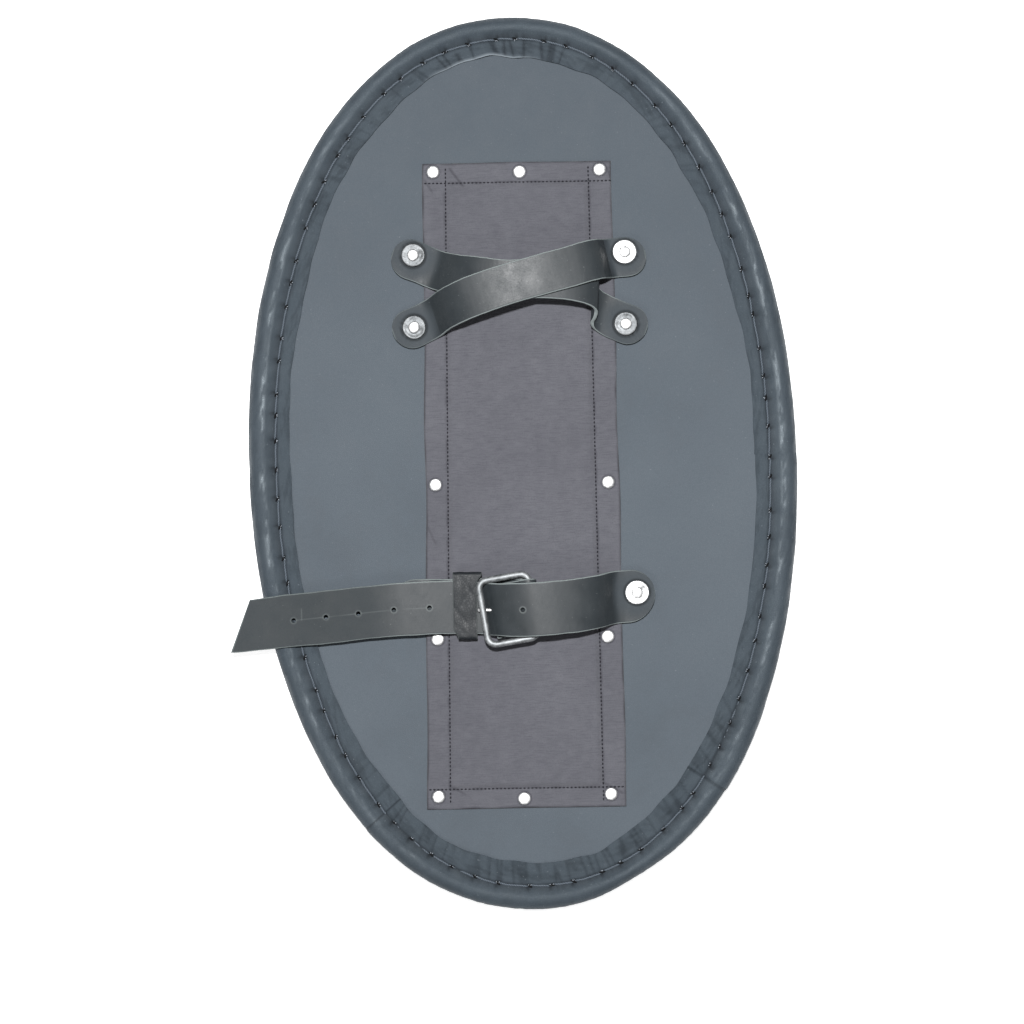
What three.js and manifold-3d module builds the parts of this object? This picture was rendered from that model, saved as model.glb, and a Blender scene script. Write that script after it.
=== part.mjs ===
// Oval shield, seen from its back: a flat leather-faced board with a padded, sewn leather edge,
// a riveted cloth arm pad, two crossed hand straps and a buckled forearm strap with a long tail.
// Millimetres. The board's front face lies at z = 0, +Z is the back, where the straps are,
// and +Y is the long axis, with the hand straps in the upper half.

import * as THREE from 'three';
import { mergeVertices } from 'three/addons/utils/BufferGeometryUtils.js';
import Module from 'manifold-3d';

const wasm = await Module();
wasm.setup();

// Clearance between pieces that touch
const GAP = 0.3;

// Board and its padded edge
const OVAL_LENGTH = 840;
const OVAL_WIDTH = 518;
const OVAL_POWER = 2.11; // 2 is an ellipse, more is squarer
const OVAL_STEPS = 72;
const BOARD_THICKNESS = 9;
const PADDING_BEYOND_BOARD = 10;
const BEAD_HEIGHT = 22;
const BEAD_WIDTH_AT_SIDES = 24.5;
const BEAD_WIDTH_AT_ENDS = 20.5;
const BEAD_STEPS = 9;
const EDGE_LEATHER = 2;
const FLANGE_AT_SIDES = 15;
const FLANGE_AT_TOP = 16;
const FLANGE_AT_BOTTOM = 22;

// The fittings sit a little askew on the oval
const FITTINGS_LEAN = -1.3; // degrees

// Arm pad, a cloth panel with a thin hem all round, placed by its distances from the oval's ends
const PAD_FROM_OVAL_TOP = 136.2;
const PAD_FROM_OVAL_BOTTOM = 94.8;
const PAD_WIDTH_AT_TOP = 178;
const PAD_WIDTH_AT_BOTTOM = 188;
const PAD_CENTRE_U = -1.3;
const PAD_THICKNESS = 4;
const HEM_THICKNESS = 1.6;
const HEM_AT_SIDES = 21.5;
const HEM_AT_ENDS = 19;
const PAD_SHOULDER = 1.5;

// Small domed rivets of the pad
const PAD_CAP_DIAMETER = 12;
const PAD_CAP_HEIGHT = 2.6;
const PAD_SHANK_DIAMETER = 3.6;
const PAD_FRONT_HEAD_DIAMETER = 10;
const PAD_FRONT_HEAD_HEIGHT = 1.6;
const RIVET_SIDES = 8;

// Rows of pad rivets, from the pad's ends, its middle and the lower edge of the forearm strap
const PAD_RIVETS_FROM_TOP = 8;
const PAD_RIVETS_FROM_BOTTOM = 12;
const PAD_RIVETS_ABOVE_MIDDLE = 1.5;
const PAD_RIVETS_BELOW_STRAP = 7.3;
const PAD_RIVET_INSETS = [[10, 11], [10, 10], [11, 14], [10.5, 14.5]]; // from left and right edge, by row
const PAD_RIVET_END_INSET = 9;
const PAD_RIVET_END_SHIFT = 2.5; // the middle rivets stray this far to either side

// Strap rivets, each over a washer
const STRAP_SHANK_DIAMETER = 5;
const STRAP_HEAD_DIAMETER = 11;
const STRAP_HEAD_HEIGHT = 3.2;
const STRAP_FRONT_HEAD_DIAMETER = 14;
const STRAP_FRONT_HEAD_HEIGHT = 2;
const WASHER_DIAMETER = 22.5;
const WASHER_THICKNESS = 1.6;
const WASHER_SIDES = 14;

// Strap leather
const LEATHER = 3.5;
const HAND_STRAP_WIDTH = 38;
const FOREARM_STRAP_WIDTH = 50;
const TAB_BEYOND_HAND_RIVET = 20;
const TAB_BEYOND_FOREARM_RIVET = 17;
const TAB_BEYOND_BUCKLE_RIVET = 25;

// Where the strap rivets stand, in the fittings' own axes
const HAND_RIVET_LEFT = -100.3;
const HAND_RIVET_RIGHT = 99;
const HAND_RIVET_UPPER = 197.4;
const HAND_RIVET_LOWER = 129.6;
const FOREARM_RIVET_U = 105.5;
const FOREARM_RIVET_V = -123.5;
const BUCKLE_RIVET_U = -109;
const BUCKLE_RIVET_V = -132.4;

// Height of the hand straps' arch, from a tab's middle plane to the crest's
const HAND_ARCH = 34;

// Buckle, a frame of bent wire that carries a straight tongue
const BUCKLE_LENGTH = 67; // across the strap, outside
const BUCKLE_WIDTH = 53.5; // along the strap, outside
const BUCKLE_WIRE = 6.2;
const BUCKLE_CORNER = 8; // on the wire's middle line
const BUCKLE_TURN = 9.2; // degrees, in the plane of the board
const BUCKLE_CENTRE_U = -16;
const BUCKLE_CENTRE_V = -136.8;
const BUCKLE_ABOVE_BOARD = 24;
const TONGUE_WIRE = 3.5;
const TONGUE_V = -137.4;
const TONGUE_BEYOND_BAR = 5.4;
const FOLD_END_FROM_BAR = 38;
const FOLD_SLOT_WIDTH = 9;
const FOLD_SLOT_END_FROM_BAR = 33;

// Keeper, a leather loop that holds the tail down
const KEEPER_WIDTH = 22.5;
const KEEPER_SPAN = 63.5;
const KEEPER_LEATHER = 2.2;
const KEEPER_CENTRE_U = -56.6;
const KEEPER_CENTRE_V = -133.4;
const KEEPER_CORNER = 3.4;

// Punched holes of the forearm strap and the slanted cut of its tail
const HOLE_DIAMETER = 4.2;
const HOLE_SIDES = 8;
const HOLES_FROM_TIP = [50.5, 81, 111.5, 145, 178.5, 208.5, 266];
const TAIL_TIP_U = -268.5;
const TAIL_TIP_V = -149.2;
const TAIL_SLANT = 9.4;
const TAIL_SLANT_FROM_TIP = 39.5;

// Patches of the board's faces where a flat thing can be fastened, clear of all fittings
const FASTENING_PATCH = 60;
const FASTENING_FROM_CENTRE = 170;

// Ends of the arm pad in the fittings' own axes
const padTopV = OVAL_LENGTH / 2 - PAD_FROM_OVAL_TOP;
const padBottomV = PAD_FROM_OVAL_BOTTOM - OVAL_LENGTH / 2;

// Levels of the middle planes, worked out from the sizes above
const backFace = BOARD_THICKNESS;
const padTop = backFace + GAP + PAD_THICKNESS;
const hemTop = backFace + GAP + HEM_THICKNESS;
const tabLevel = hemTop + GAP + LEATHER / 2;
const washerBase = tabLevel + LEATHER / 2 + GAP;
const strapHeadBase = washerBase + WASHER_THICKNESS + GAP;
const strapHeadTop = strapHeadBase + STRAP_HEAD_HEIGHT;
const beadTop = BOARD_THICKNESS / 2 + BEAD_HEIGHT / 2;
const buckleLevel = backFace + BUCKLE_ABOVE_BOARD;
const foldRadius = BUCKLE_WIRE / 2 + GAP + LEATHER / 2;
const eyeRadius = BUCKLE_WIRE / 2 + GAP + TONGUE_WIRE / 2;
const tongueLevel = buckleLevel - eyeRadius;
const crestOverBar = buckleLevel + foldRadius + LEATHER + GAP;
const keeperBase = padTop + GAP;
const lowerInKeeper = keeperBase + KEEPER_LEATHER + GAP + LEATHER / 2;
const upperInKeeper = lowerInKeeper + LEATHER + GAP;
const keeperTop = upperInKeeper + LEATHER / 2 + GAP + KEEPER_LEATHER;

const boardLeather = { color: 0x6c757d, roughness: 0.75, metalness: 0 };
const edgeLeather = { color: 0x535c65, roughness: 0.5, metalness: 0 };
const padCloth = { color: 0x6e6f77, roughness: 0.95, metalness: 0 };
const strapLeather = { color: 0x53595c, roughness: 0.5, metalness: 0 };
const steel = { color: 0xa6aaac, roughness: 0.35, metalness: 1 };
const brightSteel = { color: 0xd9dbdc, roughness: 0.25, metalness: 1 };

// Geometry helpers

// A closed mesh with shared vertices, as a solid for cutting and joining
function solidOf(geometry) {
  const bare = geometry.clone();
  bare.deleteAttribute('normal');
  bare.deleteAttribute('uv');
  const merged = mergeVertices(bare, 1e-4);
  const mesh = new wasm.Mesh({
    numProp: 3,
    vertProperties: new Float32Array(merged.attributes.position.array),
    triVerts: new Uint32Array(merged.index.array),
  });
  return new wasm.Manifold(mesh);
}

function geometryOf(solid) {
  const mesh = solid.getMesh();
  const geometry = new THREE.BufferGeometry();
  geometry.setAttribute('position', new THREE.BufferAttribute(mesh.vertProperties, 3));
  geometry.setIndex(new THREE.BufferAttribute(mesh.triVerts, 1));
  geometry.computeVertexNormals();
  return geometry;
}

function cut(geometry, cutters) {
  let solid = solidOf(geometry);
  for (const cutter of cutters) solid = solid.subtract(solidOf(cutter));
  return geometryOf(solid);
}

// Joins equal closed outlines into a body; each outline runs counterclockwise seen from its far end
function loft(outlines, ring) {
  const sides = outlines[0].length;
  const count = outlines.length;
  const positions = outlines.flat().flatMap((point) => point.toArray());
  const index = [];
  for (let i = 0; i < (ring ? count : count - 1); i += 1) {
    const next = (i + 1) % count;
    for (let k = 0; k < sides; k += 1) {
      const turn = (k + 1) % sides;
      index.push(i * sides + k, i * sides + turn, next * sides + turn);
      index.push(i * sides + k, next * sides + turn, next * sides + k);
    }
  }
  if (!ring) {
    const last = (count - 1) * sides;
    for (let k = 1; k < sides - 1; k += 1) {
      index.push(0, k + 1, k);
      index.push(last, last + k, last + k + 1);
    }
  }
  const geometry = new THREE.BufferGeometry();
  geometry.setAttribute('position', new THREE.Float32BufferAttribute(positions, 3));
  geometry.setIndex(index);
  geometry.computeVertexNormals();
  return geometry;
}

// A turned solid about +Z; the profile is a list of [radius, height] from its foot to its top
function turned(profile, sides) {
  const points = profile.map(([radius, height]) => new THREE.Vector2(radius, height));
  return new THREE.LatheGeometry(points, sides).rotateX(Math.PI / 2);
}

// An upright round cutter of the given radius
function drillAt(u, v, radius) {
  const tall = 4 * (BOARD_THICKNESS + BUCKLE_ABOVE_BOARD + HAND_ARCH);
  const cutter = new THREE.CylinderGeometry(radius, radius, tall, HOLE_SIDES);
  return cutter.rotateX(Math.PI / 2).translate(u, v, 0);
}

// A point of the fittings' axes in the board's axes
function onBoard(u, v) {
  const lean = THREE.MathUtils.degToRad(FITTINGS_LEAN);
  return new THREE.Vector2(u, v).rotateAround(new THREE.Vector2(), lean);
}

// Value at a place of a list of [place, value] pairs, straight between them
function between(pairs, place) {
  const later = pairs.findIndex(([start]) => start > place);
  const next = later > 0 ? later : pairs.length - 1;
  const [x0, y0] = pairs[next - 1];
  const [x1, y1] = pairs[next];
  return THREE.MathUtils.mapLinear(place, x0, x1, y0, y1);
}

// Points along a smooth curve through a few chosen places
function smooth(places, steps) {
  const points = places.map((place) => new THREE.Vector3(place[0], place[1], place[2]));
  return new THREE.CatmullRomCurve3(points, false, 'centripetal').getSpacedPoints(steps);
}

// Outline of the oval

// Point and inward direction of the oval at an angle, for a superellipse of the given power
function ovalAt(angle) {
  const halfWidth = OVAL_WIDTH / 2;
  const halfLength = OVAL_LENGTH / 2;
  const c = Math.cos(angle);
  const s = Math.sin(angle);
  const x = Math.sign(c) * Math.abs(c) ** (2 / OVAL_POWER);
  const y = Math.sign(s) * Math.abs(s) ** (2 / OVAL_POWER);
  const slopeX = Math.sign(x) * Math.abs(x) ** (OVAL_POWER - 1) / halfWidth;
  const slopeY = Math.sign(y) * Math.abs(y) ** (OVAL_POWER - 1) / halfLength;
  return {
    point: new THREE.Vector2(x * halfWidth, y * halfLength),
    inward: new THREE.Vector2(-slopeX, -slopeY).normalize(),
  };
}

function ovalInset(angle, inset) {
  const { point, inward } = ovalAt(angle);
  return point.addScaledVector(inward, inset);
}

function ovalAngles() {
  return Array.from({ length: OVAL_STEPS }, (_, i) => (i + 0.5) / OVAL_STEPS * 2 * Math.PI);
}

// Places of the rivets

function padHalfWidth(v) {
  return THREE.MathUtils.mapLinear(v, padTopV, padBottomV, PAD_WIDTH_AT_TOP, PAD_WIDTH_AT_BOTTOM) / 2;
}

function padRivetPlaces() {
  const rows = [
    padTopV - PAD_RIVETS_FROM_TOP,
    (padTopV + padBottomV) / 2 + PAD_RIVETS_ABOVE_MIDDLE,
    BUCKLE_RIVET_V - FOREARM_STRAP_WIDTH / 2 - PAD_RIVETS_BELOW_STRAP,
    padBottomV + PAD_RIVETS_FROM_BOTTOM,
  ];
  const sides = rows.flatMap((v, i) => {
    const [left, right] = PAD_RIVET_INSETS[i];
    return [
      [PAD_CENTRE_U - padHalfWidth(v) + left, v],
      [PAD_CENTRE_U + padHalfWidth(v) - right, v],
    ];
  });
  const ends = [
    [PAD_CENTRE_U + PAD_RIVET_END_SHIFT, padTopV - PAD_RIVET_END_INSET],
    [PAD_CENTRE_U - PAD_RIVET_END_SHIFT, padBottomV + PAD_RIVET_END_INSET],
  ];
  return [...sides, ...ends];
}

const strapRivetPlaces = {
  upper_left: [HAND_RIVET_LEFT, HAND_RIVET_UPPER],
  upper_right: [HAND_RIVET_RIGHT, HAND_RIVET_UPPER],
  lower_left: [HAND_RIVET_LEFT, HAND_RIVET_LOWER],
  lower_right: [HAND_RIVET_RIGHT, HAND_RIVET_LOWER],
  forearm: [FOREARM_RIVET_U, FOREARM_RIVET_V],
  buckle: [BUCKLE_RIVET_U, BUCKLE_RIVET_V],
};

// Board and edge

// The board's faces keep square patches free of the edges that its rivet holes need
function boardGeometry() {
  const edge = PADDING_BEYOND_BOARD + GAP;
  const patches = [-FASTENING_FROM_CENTRE, FASTENING_PATCH / 6, FASTENING_FROM_CENTRE];
  const shape = new THREE.Shape(ovalAngles().map((angle) => ovalInset(angle, edge)));
  const addHole = ([u, v], shank) => {
    const centre = onBoard(u, v);
    const ring = Array.from({ length: HOLE_SIDES }, (_, i) => {
      const turn = -2 * Math.PI * i / HOLE_SIDES;
      const out = new THREE.Vector2(Math.cos(turn), Math.sin(turn));
      return centre.clone().addScaledVector(out, shank / 2 + GAP);
    });
    shape.holes.push(new THREE.Path(ring));
  };
  for (const place of padRivetPlaces()) addHole(place, PAD_SHANK_DIAMETER);
  for (const place of Object.values(strapRivetPlaces)) addHole(place, STRAP_SHANK_DIAMETER);
  let solid = solidOf(new THREE.ExtrudeGeometry(shape, { depth: BOARD_THICKNESS, bevelEnabled: false }));
  for (const x of patches) {
    const patch = new THREE.BoxGeometry(FASTENING_PATCH, FASTENING_PATCH, BOARD_THICKNESS);
    patch.translate(x, 0, BOARD_THICKNESS / 2);
    const room = patch.clone().scale(1, 1, 3).translate(0, 0, -BOARD_THICKNESS);
    solid = solid.subtract(solidOf(room)).add(solidOf(patch));
  }
  return geometryOf(solid);
}

// The bead is widest at the sides of the oval, the flange at its foot
function beadWidthAt(angle) {
  return THREE.MathUtils.lerp(BEAD_WIDTH_AT_SIDES, BEAD_WIDTH_AT_ENDS, Math.sin(angle) ** 2);
}

function flangeAt(angle) {
  const end = Math.sin(angle) > 0 ? FLANGE_AT_TOP : FLANGE_AT_BOTTOM;
  return THREE.MathUtils.lerp(FLANGE_AT_SIDES, end, Math.sin(angle) ** 2);
}

// Section of the edge binding: a round bead with a slot for the board and a flange on either face
function bindingSection(angle) {
  const width = beadWidthAt(angle);
  const middle = BOARD_THICKNESS / 2;
  const slot = middle + GAP;
  const flangeFace = slot + EDGE_LEATHER;
  const flangeEnd = width + flangeAt(angle);
  const root = Math.asin(flangeFace / (BEAD_HEIGHT / 2));
  const section = [
    [flangeEnd, -flangeFace],
    [flangeEnd, -slot],
    [PADDING_BEYOND_BOARD, -slot],
    [PADDING_BEYOND_BOARD, slot],
    [flangeEnd, slot],
    [flangeEnd, flangeFace],
  ];
  for (let i = 0; i <= BEAD_STEPS; i += 1) {
    const turn = THREE.MathUtils.lerp(root, 2 * Math.PI - root, i / BEAD_STEPS);
    section.push([width / 2 * (1 + Math.cos(turn)), BEAD_HEIGHT / 2 * Math.sin(turn)]);
  }
  return section.map(([inset, height]) => {
    const { x, y } = ovalInset(angle, inset);
    return new THREE.Vector3(x, y, middle + height);
  });
}

function bindingGeometry() {
  return loft(ovalAngles().map(bindingSection), true);
}

// Arm pad

function padShape(insetAtSides, insetAtEnds) {
  const top = padTopV - insetAtEnds;
  const bottom = padBottomV + insetAtEnds;
  const corner = (side, v) => new THREE.Vector2(PAD_CENTRE_U + side * (padHalfWidth(v) - insetAtSides), v);
  return new THREE.Shape([corner(-1, bottom), corner(1, bottom), corner(1, top), corner(-1, top)]);
}

function padGeometry() {
  const hem = new THREE.ExtrudeGeometry(padShape(0, 0), { depth: HEM_THICKNESS, bevelEnabled: false });
  const panel = padShape(HEM_AT_SIDES + PAD_SHOULDER, HEM_AT_ENDS + PAD_SHOULDER);
  const raised = new THREE.ExtrudeGeometry(panel, {
    depth: PAD_THICKNESS - 2 * PAD_SHOULDER,
    bevelThickness: PAD_SHOULDER,
    bevelSize: PAD_SHOULDER,
    bevelSegments: 1,
  });
  raised.translate(0, 0, PAD_SHOULDER);
  let solid = solidOf(hem).add(solidOf(raised));
  for (const [u, v] of padRivetPlaces()) {
    solid = solid.subtract(solidOf(drillAt(u, v, PAD_SHANK_DIAMETER / 2 + GAP)));
  }
  return geometryOf(solid).translate(0, 0, backFace + GAP);
}

// Rivets and washers

function padRivetGeometry() {
  const cap = PAD_CAP_DIAMETER / 2;
  const shank = PAD_SHANK_DIAMETER / 2;
  const front = PAD_FRONT_HEAD_DIAMETER / 2;
  const capBase = hemTop + GAP;
  return turned([
    [0, -GAP - PAD_FRONT_HEAD_HEIGHT],
    [front, -GAP - PAD_FRONT_HEAD_HEIGHT],
    [front, -GAP],
    [shank, -GAP],
    [shank, capBase],
    [cap, capBase],
    [cap * 0.86, capBase + PAD_CAP_HEIGHT * 0.6],
    [cap * 0.45, capBase + PAD_CAP_HEIGHT * 0.92],
    [0, capBase + PAD_CAP_HEIGHT],
  ], RIVET_SIDES);
}

function strapRivetGeometry() {
  const head = STRAP_HEAD_DIAMETER / 2;
  const shank = STRAP_SHANK_DIAMETER / 2;
  const front = STRAP_FRONT_HEAD_DIAMETER / 2;
  return turned([
    [0, -GAP - STRAP_FRONT_HEAD_HEIGHT],
    [front, -GAP - STRAP_FRONT_HEAD_HEIGHT],
    [front, -GAP],
    [shank, -GAP],
    [shank, strapHeadBase],
    [head, strapHeadBase],
    [head * 0.86, strapHeadBase + STRAP_HEAD_HEIGHT * 0.62],
    [0, strapHeadTop],
  ], RIVET_SIDES);
}

function washerGeometry() {
  const bore = STRAP_SHANK_DIAMETER / 2 + GAP;
  const rim = WASHER_DIAMETER / 2;
  return turned([
    [bore, 0],
    [rim, 0],
    [rim, WASHER_THICKNESS],
    [bore, WASHER_THICKNESS],
    [bore, 0],
  ], WASHER_SIDES);
}

// Straps

// A flat band along a path. across(point, share) is half the width as a level vector,
// and a rounded end narrows it along a circle of half the width.
function band({ path, across, roundStart, roundEnd }) {
  const lengths = [0];
  for (let i = 1; i < path.length; i += 1) lengths.push(lengths[i - 1] + path[i].distanceTo(path[i - 1]));
  const total = lengths.at(-1);
  const narrowing = (distance, half) => {
    if (distance >= half) return 1;
    return Math.sqrt(Math.max(half ** 2 - (half - distance) ** 2, 0)) / half;
  };
  const outlines = path.map((centre, i) => {
    const before = path[Math.max(i - 1, 0)];
    const after = path[Math.min(i + 1, path.length - 1)];
    const along = after.clone().sub(before).normalize();
    const side = across(centre, lengths[i] / total);
    const up = along.clone().cross(side).normalize().multiplyScalar(LEATHER / 2);
    const half = side.length();
    if (roundStart) side.multiplyScalar(narrowing(lengths[i], half));
    if (roundEnd) side.multiplyScalar(narrowing(total - lengths[i], half));
    return [[-1, -1], [1, -1], [1, 1], [-1, 1]].map(([s, u]) => (
      centre.clone().addScaledVector(side, s).addScaledVector(up, u)
    ));
  });
  return loft(outlines, false);
}

// Moves the first and last stations of a rounded strap close together, so that the round shows
function withRoundEnds(path, half, atStart, atEnd) {
  const shares = [0.02, 0.12, 0.3, 0.6];
  const blend = (end, next) => {
    const direction = next.clone().sub(end).normalize();
    return shares.map((share) => end.clone().addScaledVector(direction, half * share));
  };
  const start = atStart ? blend(path[0], path[1]) : [];
  const finish = atEnd ? blend(path.at(-1), path.at(-2)).reverse() : [];
  const reach = half * 0.85;
  const middle = path.filter((point) => (
    (!atStart || point.distanceTo(path[0]) > reach) && (!atEnd || point.distanceTo(path.at(-1)) > reach)
  ));
  return [...start, ...middle, ...finish];
}

// Half the width of a strap that runs at the given angle in the plane of the board
function acrossAt(degrees, half) {
  const turn = THREE.MathUtils.degToRad(degrees);
  return new THREE.Vector3(-Math.sin(turn) * half, Math.cos(turn) * half, 0);
}

// A place of a hand strap, as shares of the way between the left and right rivets, of the way between
// the lower and upper ones, and of the arch
function handPlace([alongU, alongV, share], arch) {
  return [
    THREE.MathUtils.lerp(HAND_RIVET_LEFT, HAND_RIVET_RIGHT, alongU),
    THREE.MathUtils.lerp(HAND_RIVET_LOWER, HAND_RIVET_UPPER, alongV),
    tabLevel + arch * share,
  ];
}

// Over strap: from the lower left rivet up to the upper right one, crossing on top
function overStrapGeometry() {
  const tab = TAB_BEYOND_HAND_RIVET / (HAND_RIVET_RIGHT - HAND_RIVET_LEFT);
  const places = [
    [-tab, -0.096, 0],
    [0, -0.007, 0],
    [0.068, 0.088, 0.01],
    [0.1, 0.14, 0.12],
    [0.13, 0.195, 0.34],
    [0.161, 0.243, 0.57],
    [0.206, 0.302, 0.77],
    [0.291, 0.398, 0.91],
    [0.406, 0.506, 0.985],
    [0.527, 0.605, 1],
    [0.639, 0.698, 0.97],
    [0.734, 0.771, 0.915],
    [0.802, 0.83, 0.84],
    [0.849, 0.863, 0.74],
    [0.877, 0.879, 0.6],
    [0.897, 0.891, 0.35],
    [0.915, 0.9, 0.12],
    [0.94, 0.912, 0],
    [1, 0.929, 0],
    [1 + tab, 0.971, 0],
  ].map((place) => handPlace(place, HAND_ARCH));
  const half = HAND_STRAP_WIDTH / 2;
  const path = withRoundEnds(smooth(places, 44), half, true, true);
  const geometry = band({
    path, across: (_, share) => acrossAt(19 - 8 * share, half), roundStart: true, roundEnd: true,
  });
  const hole = STRAP_SHANK_DIAMETER / 2 + GAP;
  return cut(geometry, [
    drillAt(HAND_RIVET_LEFT, HAND_RIVET_LOWER, hole), drillAt(HAND_RIVET_RIGHT, HAND_RIVET_UPPER, hole),
  ]);
}

// Under strap: from the upper left rivet, beneath the crossing, then down in an S-fold
function underStrapGeometry() {
  const tab = TAB_BEYOND_HAND_RIVET / (HAND_RIVET_RIGHT - HAND_RIVET_LEFT);
  const places = [
    [-tab, 1.029, 0],
    [0, 0.934, 0],
    [0.07, 0.845, 0.005],
    [0.11, 0.794, 0.07],
    [0.146, 0.757, 0.25],
    [0.181, 0.726, 0.46],
    [0.226, 0.696, 0.66],
    [0.306, 0.658, 0.86],
    [0.421, 0.605, 0.985],
    [0.527, 0.611, 0.99],
    [0.584, 0.628, 0.975],
    [0.724, 0.605, 0.89],
    [0.789, 0.563, 0.81],
    [0.839, 0.504, 0.69],
    [0.862, 0.437, 0.56],
    [0.86, 0.347, 0.4],
    [0.849, 0.274, 0.25],
    [0.862, 0.214, 0.12],
    [0.89, 0.158, 0.035],
    [0.935, 0.088, 0],
    [1, 0.006, 0],
    [1 + tab, -0.088, 0],
  ].map((place) => handPlace(place, HAND_ARCH - LEATHER - GAP));
  const turns = [[0, -18], [0.3, -12], [0.55, 0], [0.72, -1], [0.8, -7], [0.86, -16], [1, -19]];
  const half = HAND_STRAP_WIDTH / 2;
  const path = withRoundEnds(smooth(places, 60), half, true, true);
  const geometry = band({
    path, across: (_, share) => acrossAt(between(turns, share), half), roundStart: true, roundEnd: true,
  });
  const hole = STRAP_SHANK_DIAMETER / 2 + GAP;
  return cut(geometry, [
    drillAt(HAND_RIVET_LEFT, HAND_RIVET_UPPER, hole), drillAt(HAND_RIVET_RIGHT, HAND_RIVET_LOWER, hole),
  ]);
}

// Middle lines of the buckle's two bars, where they cross the given height of the strap
function barU(side, v) {
  const turn = THREE.MathUtils.degToRad(BUCKLE_TURN);
  const reach = side * (BUCKLE_WIDTH - BUCKLE_WIRE) / 2;
  const centreU = BUCKLE_CENTRE_U + reach * Math.cos(turn);
  const centreV = BUCKLE_CENTRE_V + reach * Math.sin(turn);
  return centreU - (v - centreV) * Math.tan(turn);
}

// How far the strap's cross lines lean with the buckle's bars, fading away from the buckle
function leanWithBars(u) {
  const left = barU(-1, BUCKLE_CENTRE_V);
  const right = barU(1, BUCKLE_CENTRE_V);
  const { mapLinear, clamp } = THREE.MathUtils;
  const rise = mapLinear(u, left - BUCKLE_WIDTH * 0.487, left - BUCKLE_WIDTH * 0.113, 0, 1);
  const fall = mapLinear(u, right + BUCKLE_WIDTH * 0.449, right + BUCKLE_WIDTH * 1.16, 1, 0);
  return BUCKLE_TURN * clamp(Math.min(rise, fall), 0, 1);
}

function acrossWide(degrees, half) {
  return new THREE.Vector3(-Math.tan(THREE.MathUtils.degToRad(degrees)) * half, half, 0);
}

// Forearm strap: from its tab over the buckle's right bar, under the left one and on as the tail.
// Its places are shares of the stretches between the tab, the bars, the keeper, the rivet and the tip.
function forearmStrapGeometry() {
  const { lerp } = THREE.MathUtils;
  const tab = FOREARM_RIVET_U;
  const tabV = FOREARM_RIVET_V;
  const barRight = barU(1, BUCKLE_CENTRE_V);
  const throughU = barU(-1, BUCKLE_CENTRE_V) + eyeRadius + LEATHER;
  const keeperRight = KEEPER_CENTRE_U + KEEPER_WIDTH / 2;
  const keeperLeft = KEEPER_CENTRE_U - KEEPER_WIDTH / 2;
  const rivetU = BUCKLE_RIVET_U;
  const overRivet = strapHeadTop + GAP + LEATHER / 2;
  const overBead = beadTop + GAP + LEATHER / 2;
  const towardsBuckleV = (share) => lerp(tabV, BUCKLE_CENTRE_V, share);
  const tailV = (share) => lerp(BUCKLE_CENTRE_V, TAIL_TIP_V, share);
  const climb = ([along, drop, share]) => [
    lerp(tab, barRight, along), towardsBuckleV(drop), lerp(tabLevel, crestOverBar, share),
  ];
  const dip = ([along, drop, share]) => [
    lerp(barRight, throughU, along), towardsBuckleV(drop), lerp(tongueLevel, crestOverBar, share),
  ];
  const tail = ([along, drop, share, lift]) => [
    lerp(rivetU, TAIL_TIP_U, along), tailV(drop), lerp(overBead, overRivet, share) + lift,
  ];
  const places = [
    [tab + TAB_BEYOND_FOREARM_RIVET, towardsBuckleV(0.15), tabLevel],
    ...[
      [0, 0.21, 0], [0.133, 0.278, 0.0035], [0.215, 0.338, 0.07], [0.277, 0.414, 0.26], [0.338, 0.526, 0.5],
      [0.41, 0.624, 0.69], [0.544, 0.752, 0.85], [0.718, 0.865, 0.95], [0.867, 0.955, 0.993], [1, 1.015, 1],
    ].map(climb),
    ...[[0.304, 1.04, 0.887], [0.609, 1.03, 0.66], [0.858, 1, 0.383], [1, 0.985, 0]].map(dip),
    [throughU - LEATHER * 1.3, towardsBuckleV(0.962), lerp(upperInKeeper, tongueLevel, 0.32)],
    [throughU - LEATHER * 2.7, towardsBuckleV(0.932), upperInKeeper + GAP],
    [keeperRight, towardsBuckleV(0.88), upperInKeeper],
    [keeperLeft, towardsBuckleV(0.82), upperInKeeper],
    [lerp(keeperLeft, rivetU, 0.368), towardsBuckleV(0.812), lerp(upperInKeeper, overRivet, 0.4)],
    [rivetU + STRAP_HEAD_DIAMETER * 0.64, towardsBuckleV(0.865), overRivet + GAP],
    [rivetU - STRAP_HEAD_DIAMETER * 0.82, towardsBuckleV(0.91), overRivet + GAP],
    ...[
      [0.188, 0.032, 0.9, 0], [0.408, 0.298, 0.55, 0], [0.602, 0.524, 0.25, 0], [0.759, 0.71, 0, GAP],
      [0.897, 0.879, 0, GAP / 3], [1, 1, 0, -GAP],
    ].map(tail),
  ];
  const half = FOREARM_STRAP_WIDTH / 2;
  const path = withRoundEnds(smooth(places, 64), half, true, false);
  const slantFrom = TAIL_TIP_U + TAIL_SLANT_FROM_TIP;
  const across = (centre) => {
    const side = acrossWide(leanWithBars(centre.x), half);
    side.x += TAIL_SLANT * THREE.MathUtils.clamp((slantFrom - centre.x) / (slantFrom - TAIL_TIP_U), 0, 1);
    return side.negate();
  };
  const geometry = band({ path, across, roundStart: true });
  const cutters = HOLES_FROM_TIP.map((distance) => {
    const u = TAIL_TIP_U + distance;
    const off = (point) => Math.abs(point.x - u);
    const nearest = path.reduce((best, point) => (off(point) < off(best) ? point : best));
    return drillAt(u, nearest.y, HOLE_DIAMETER / 2);
  });
  cutters.push(drillAt(tab, tabV, STRAP_SHANK_DIAMETER / 2 + GAP));
  cutters.push(tongueShank(TONGUE_WIRE / 2 + GAP));
  return cut(geometry, cutters);
}

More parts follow.
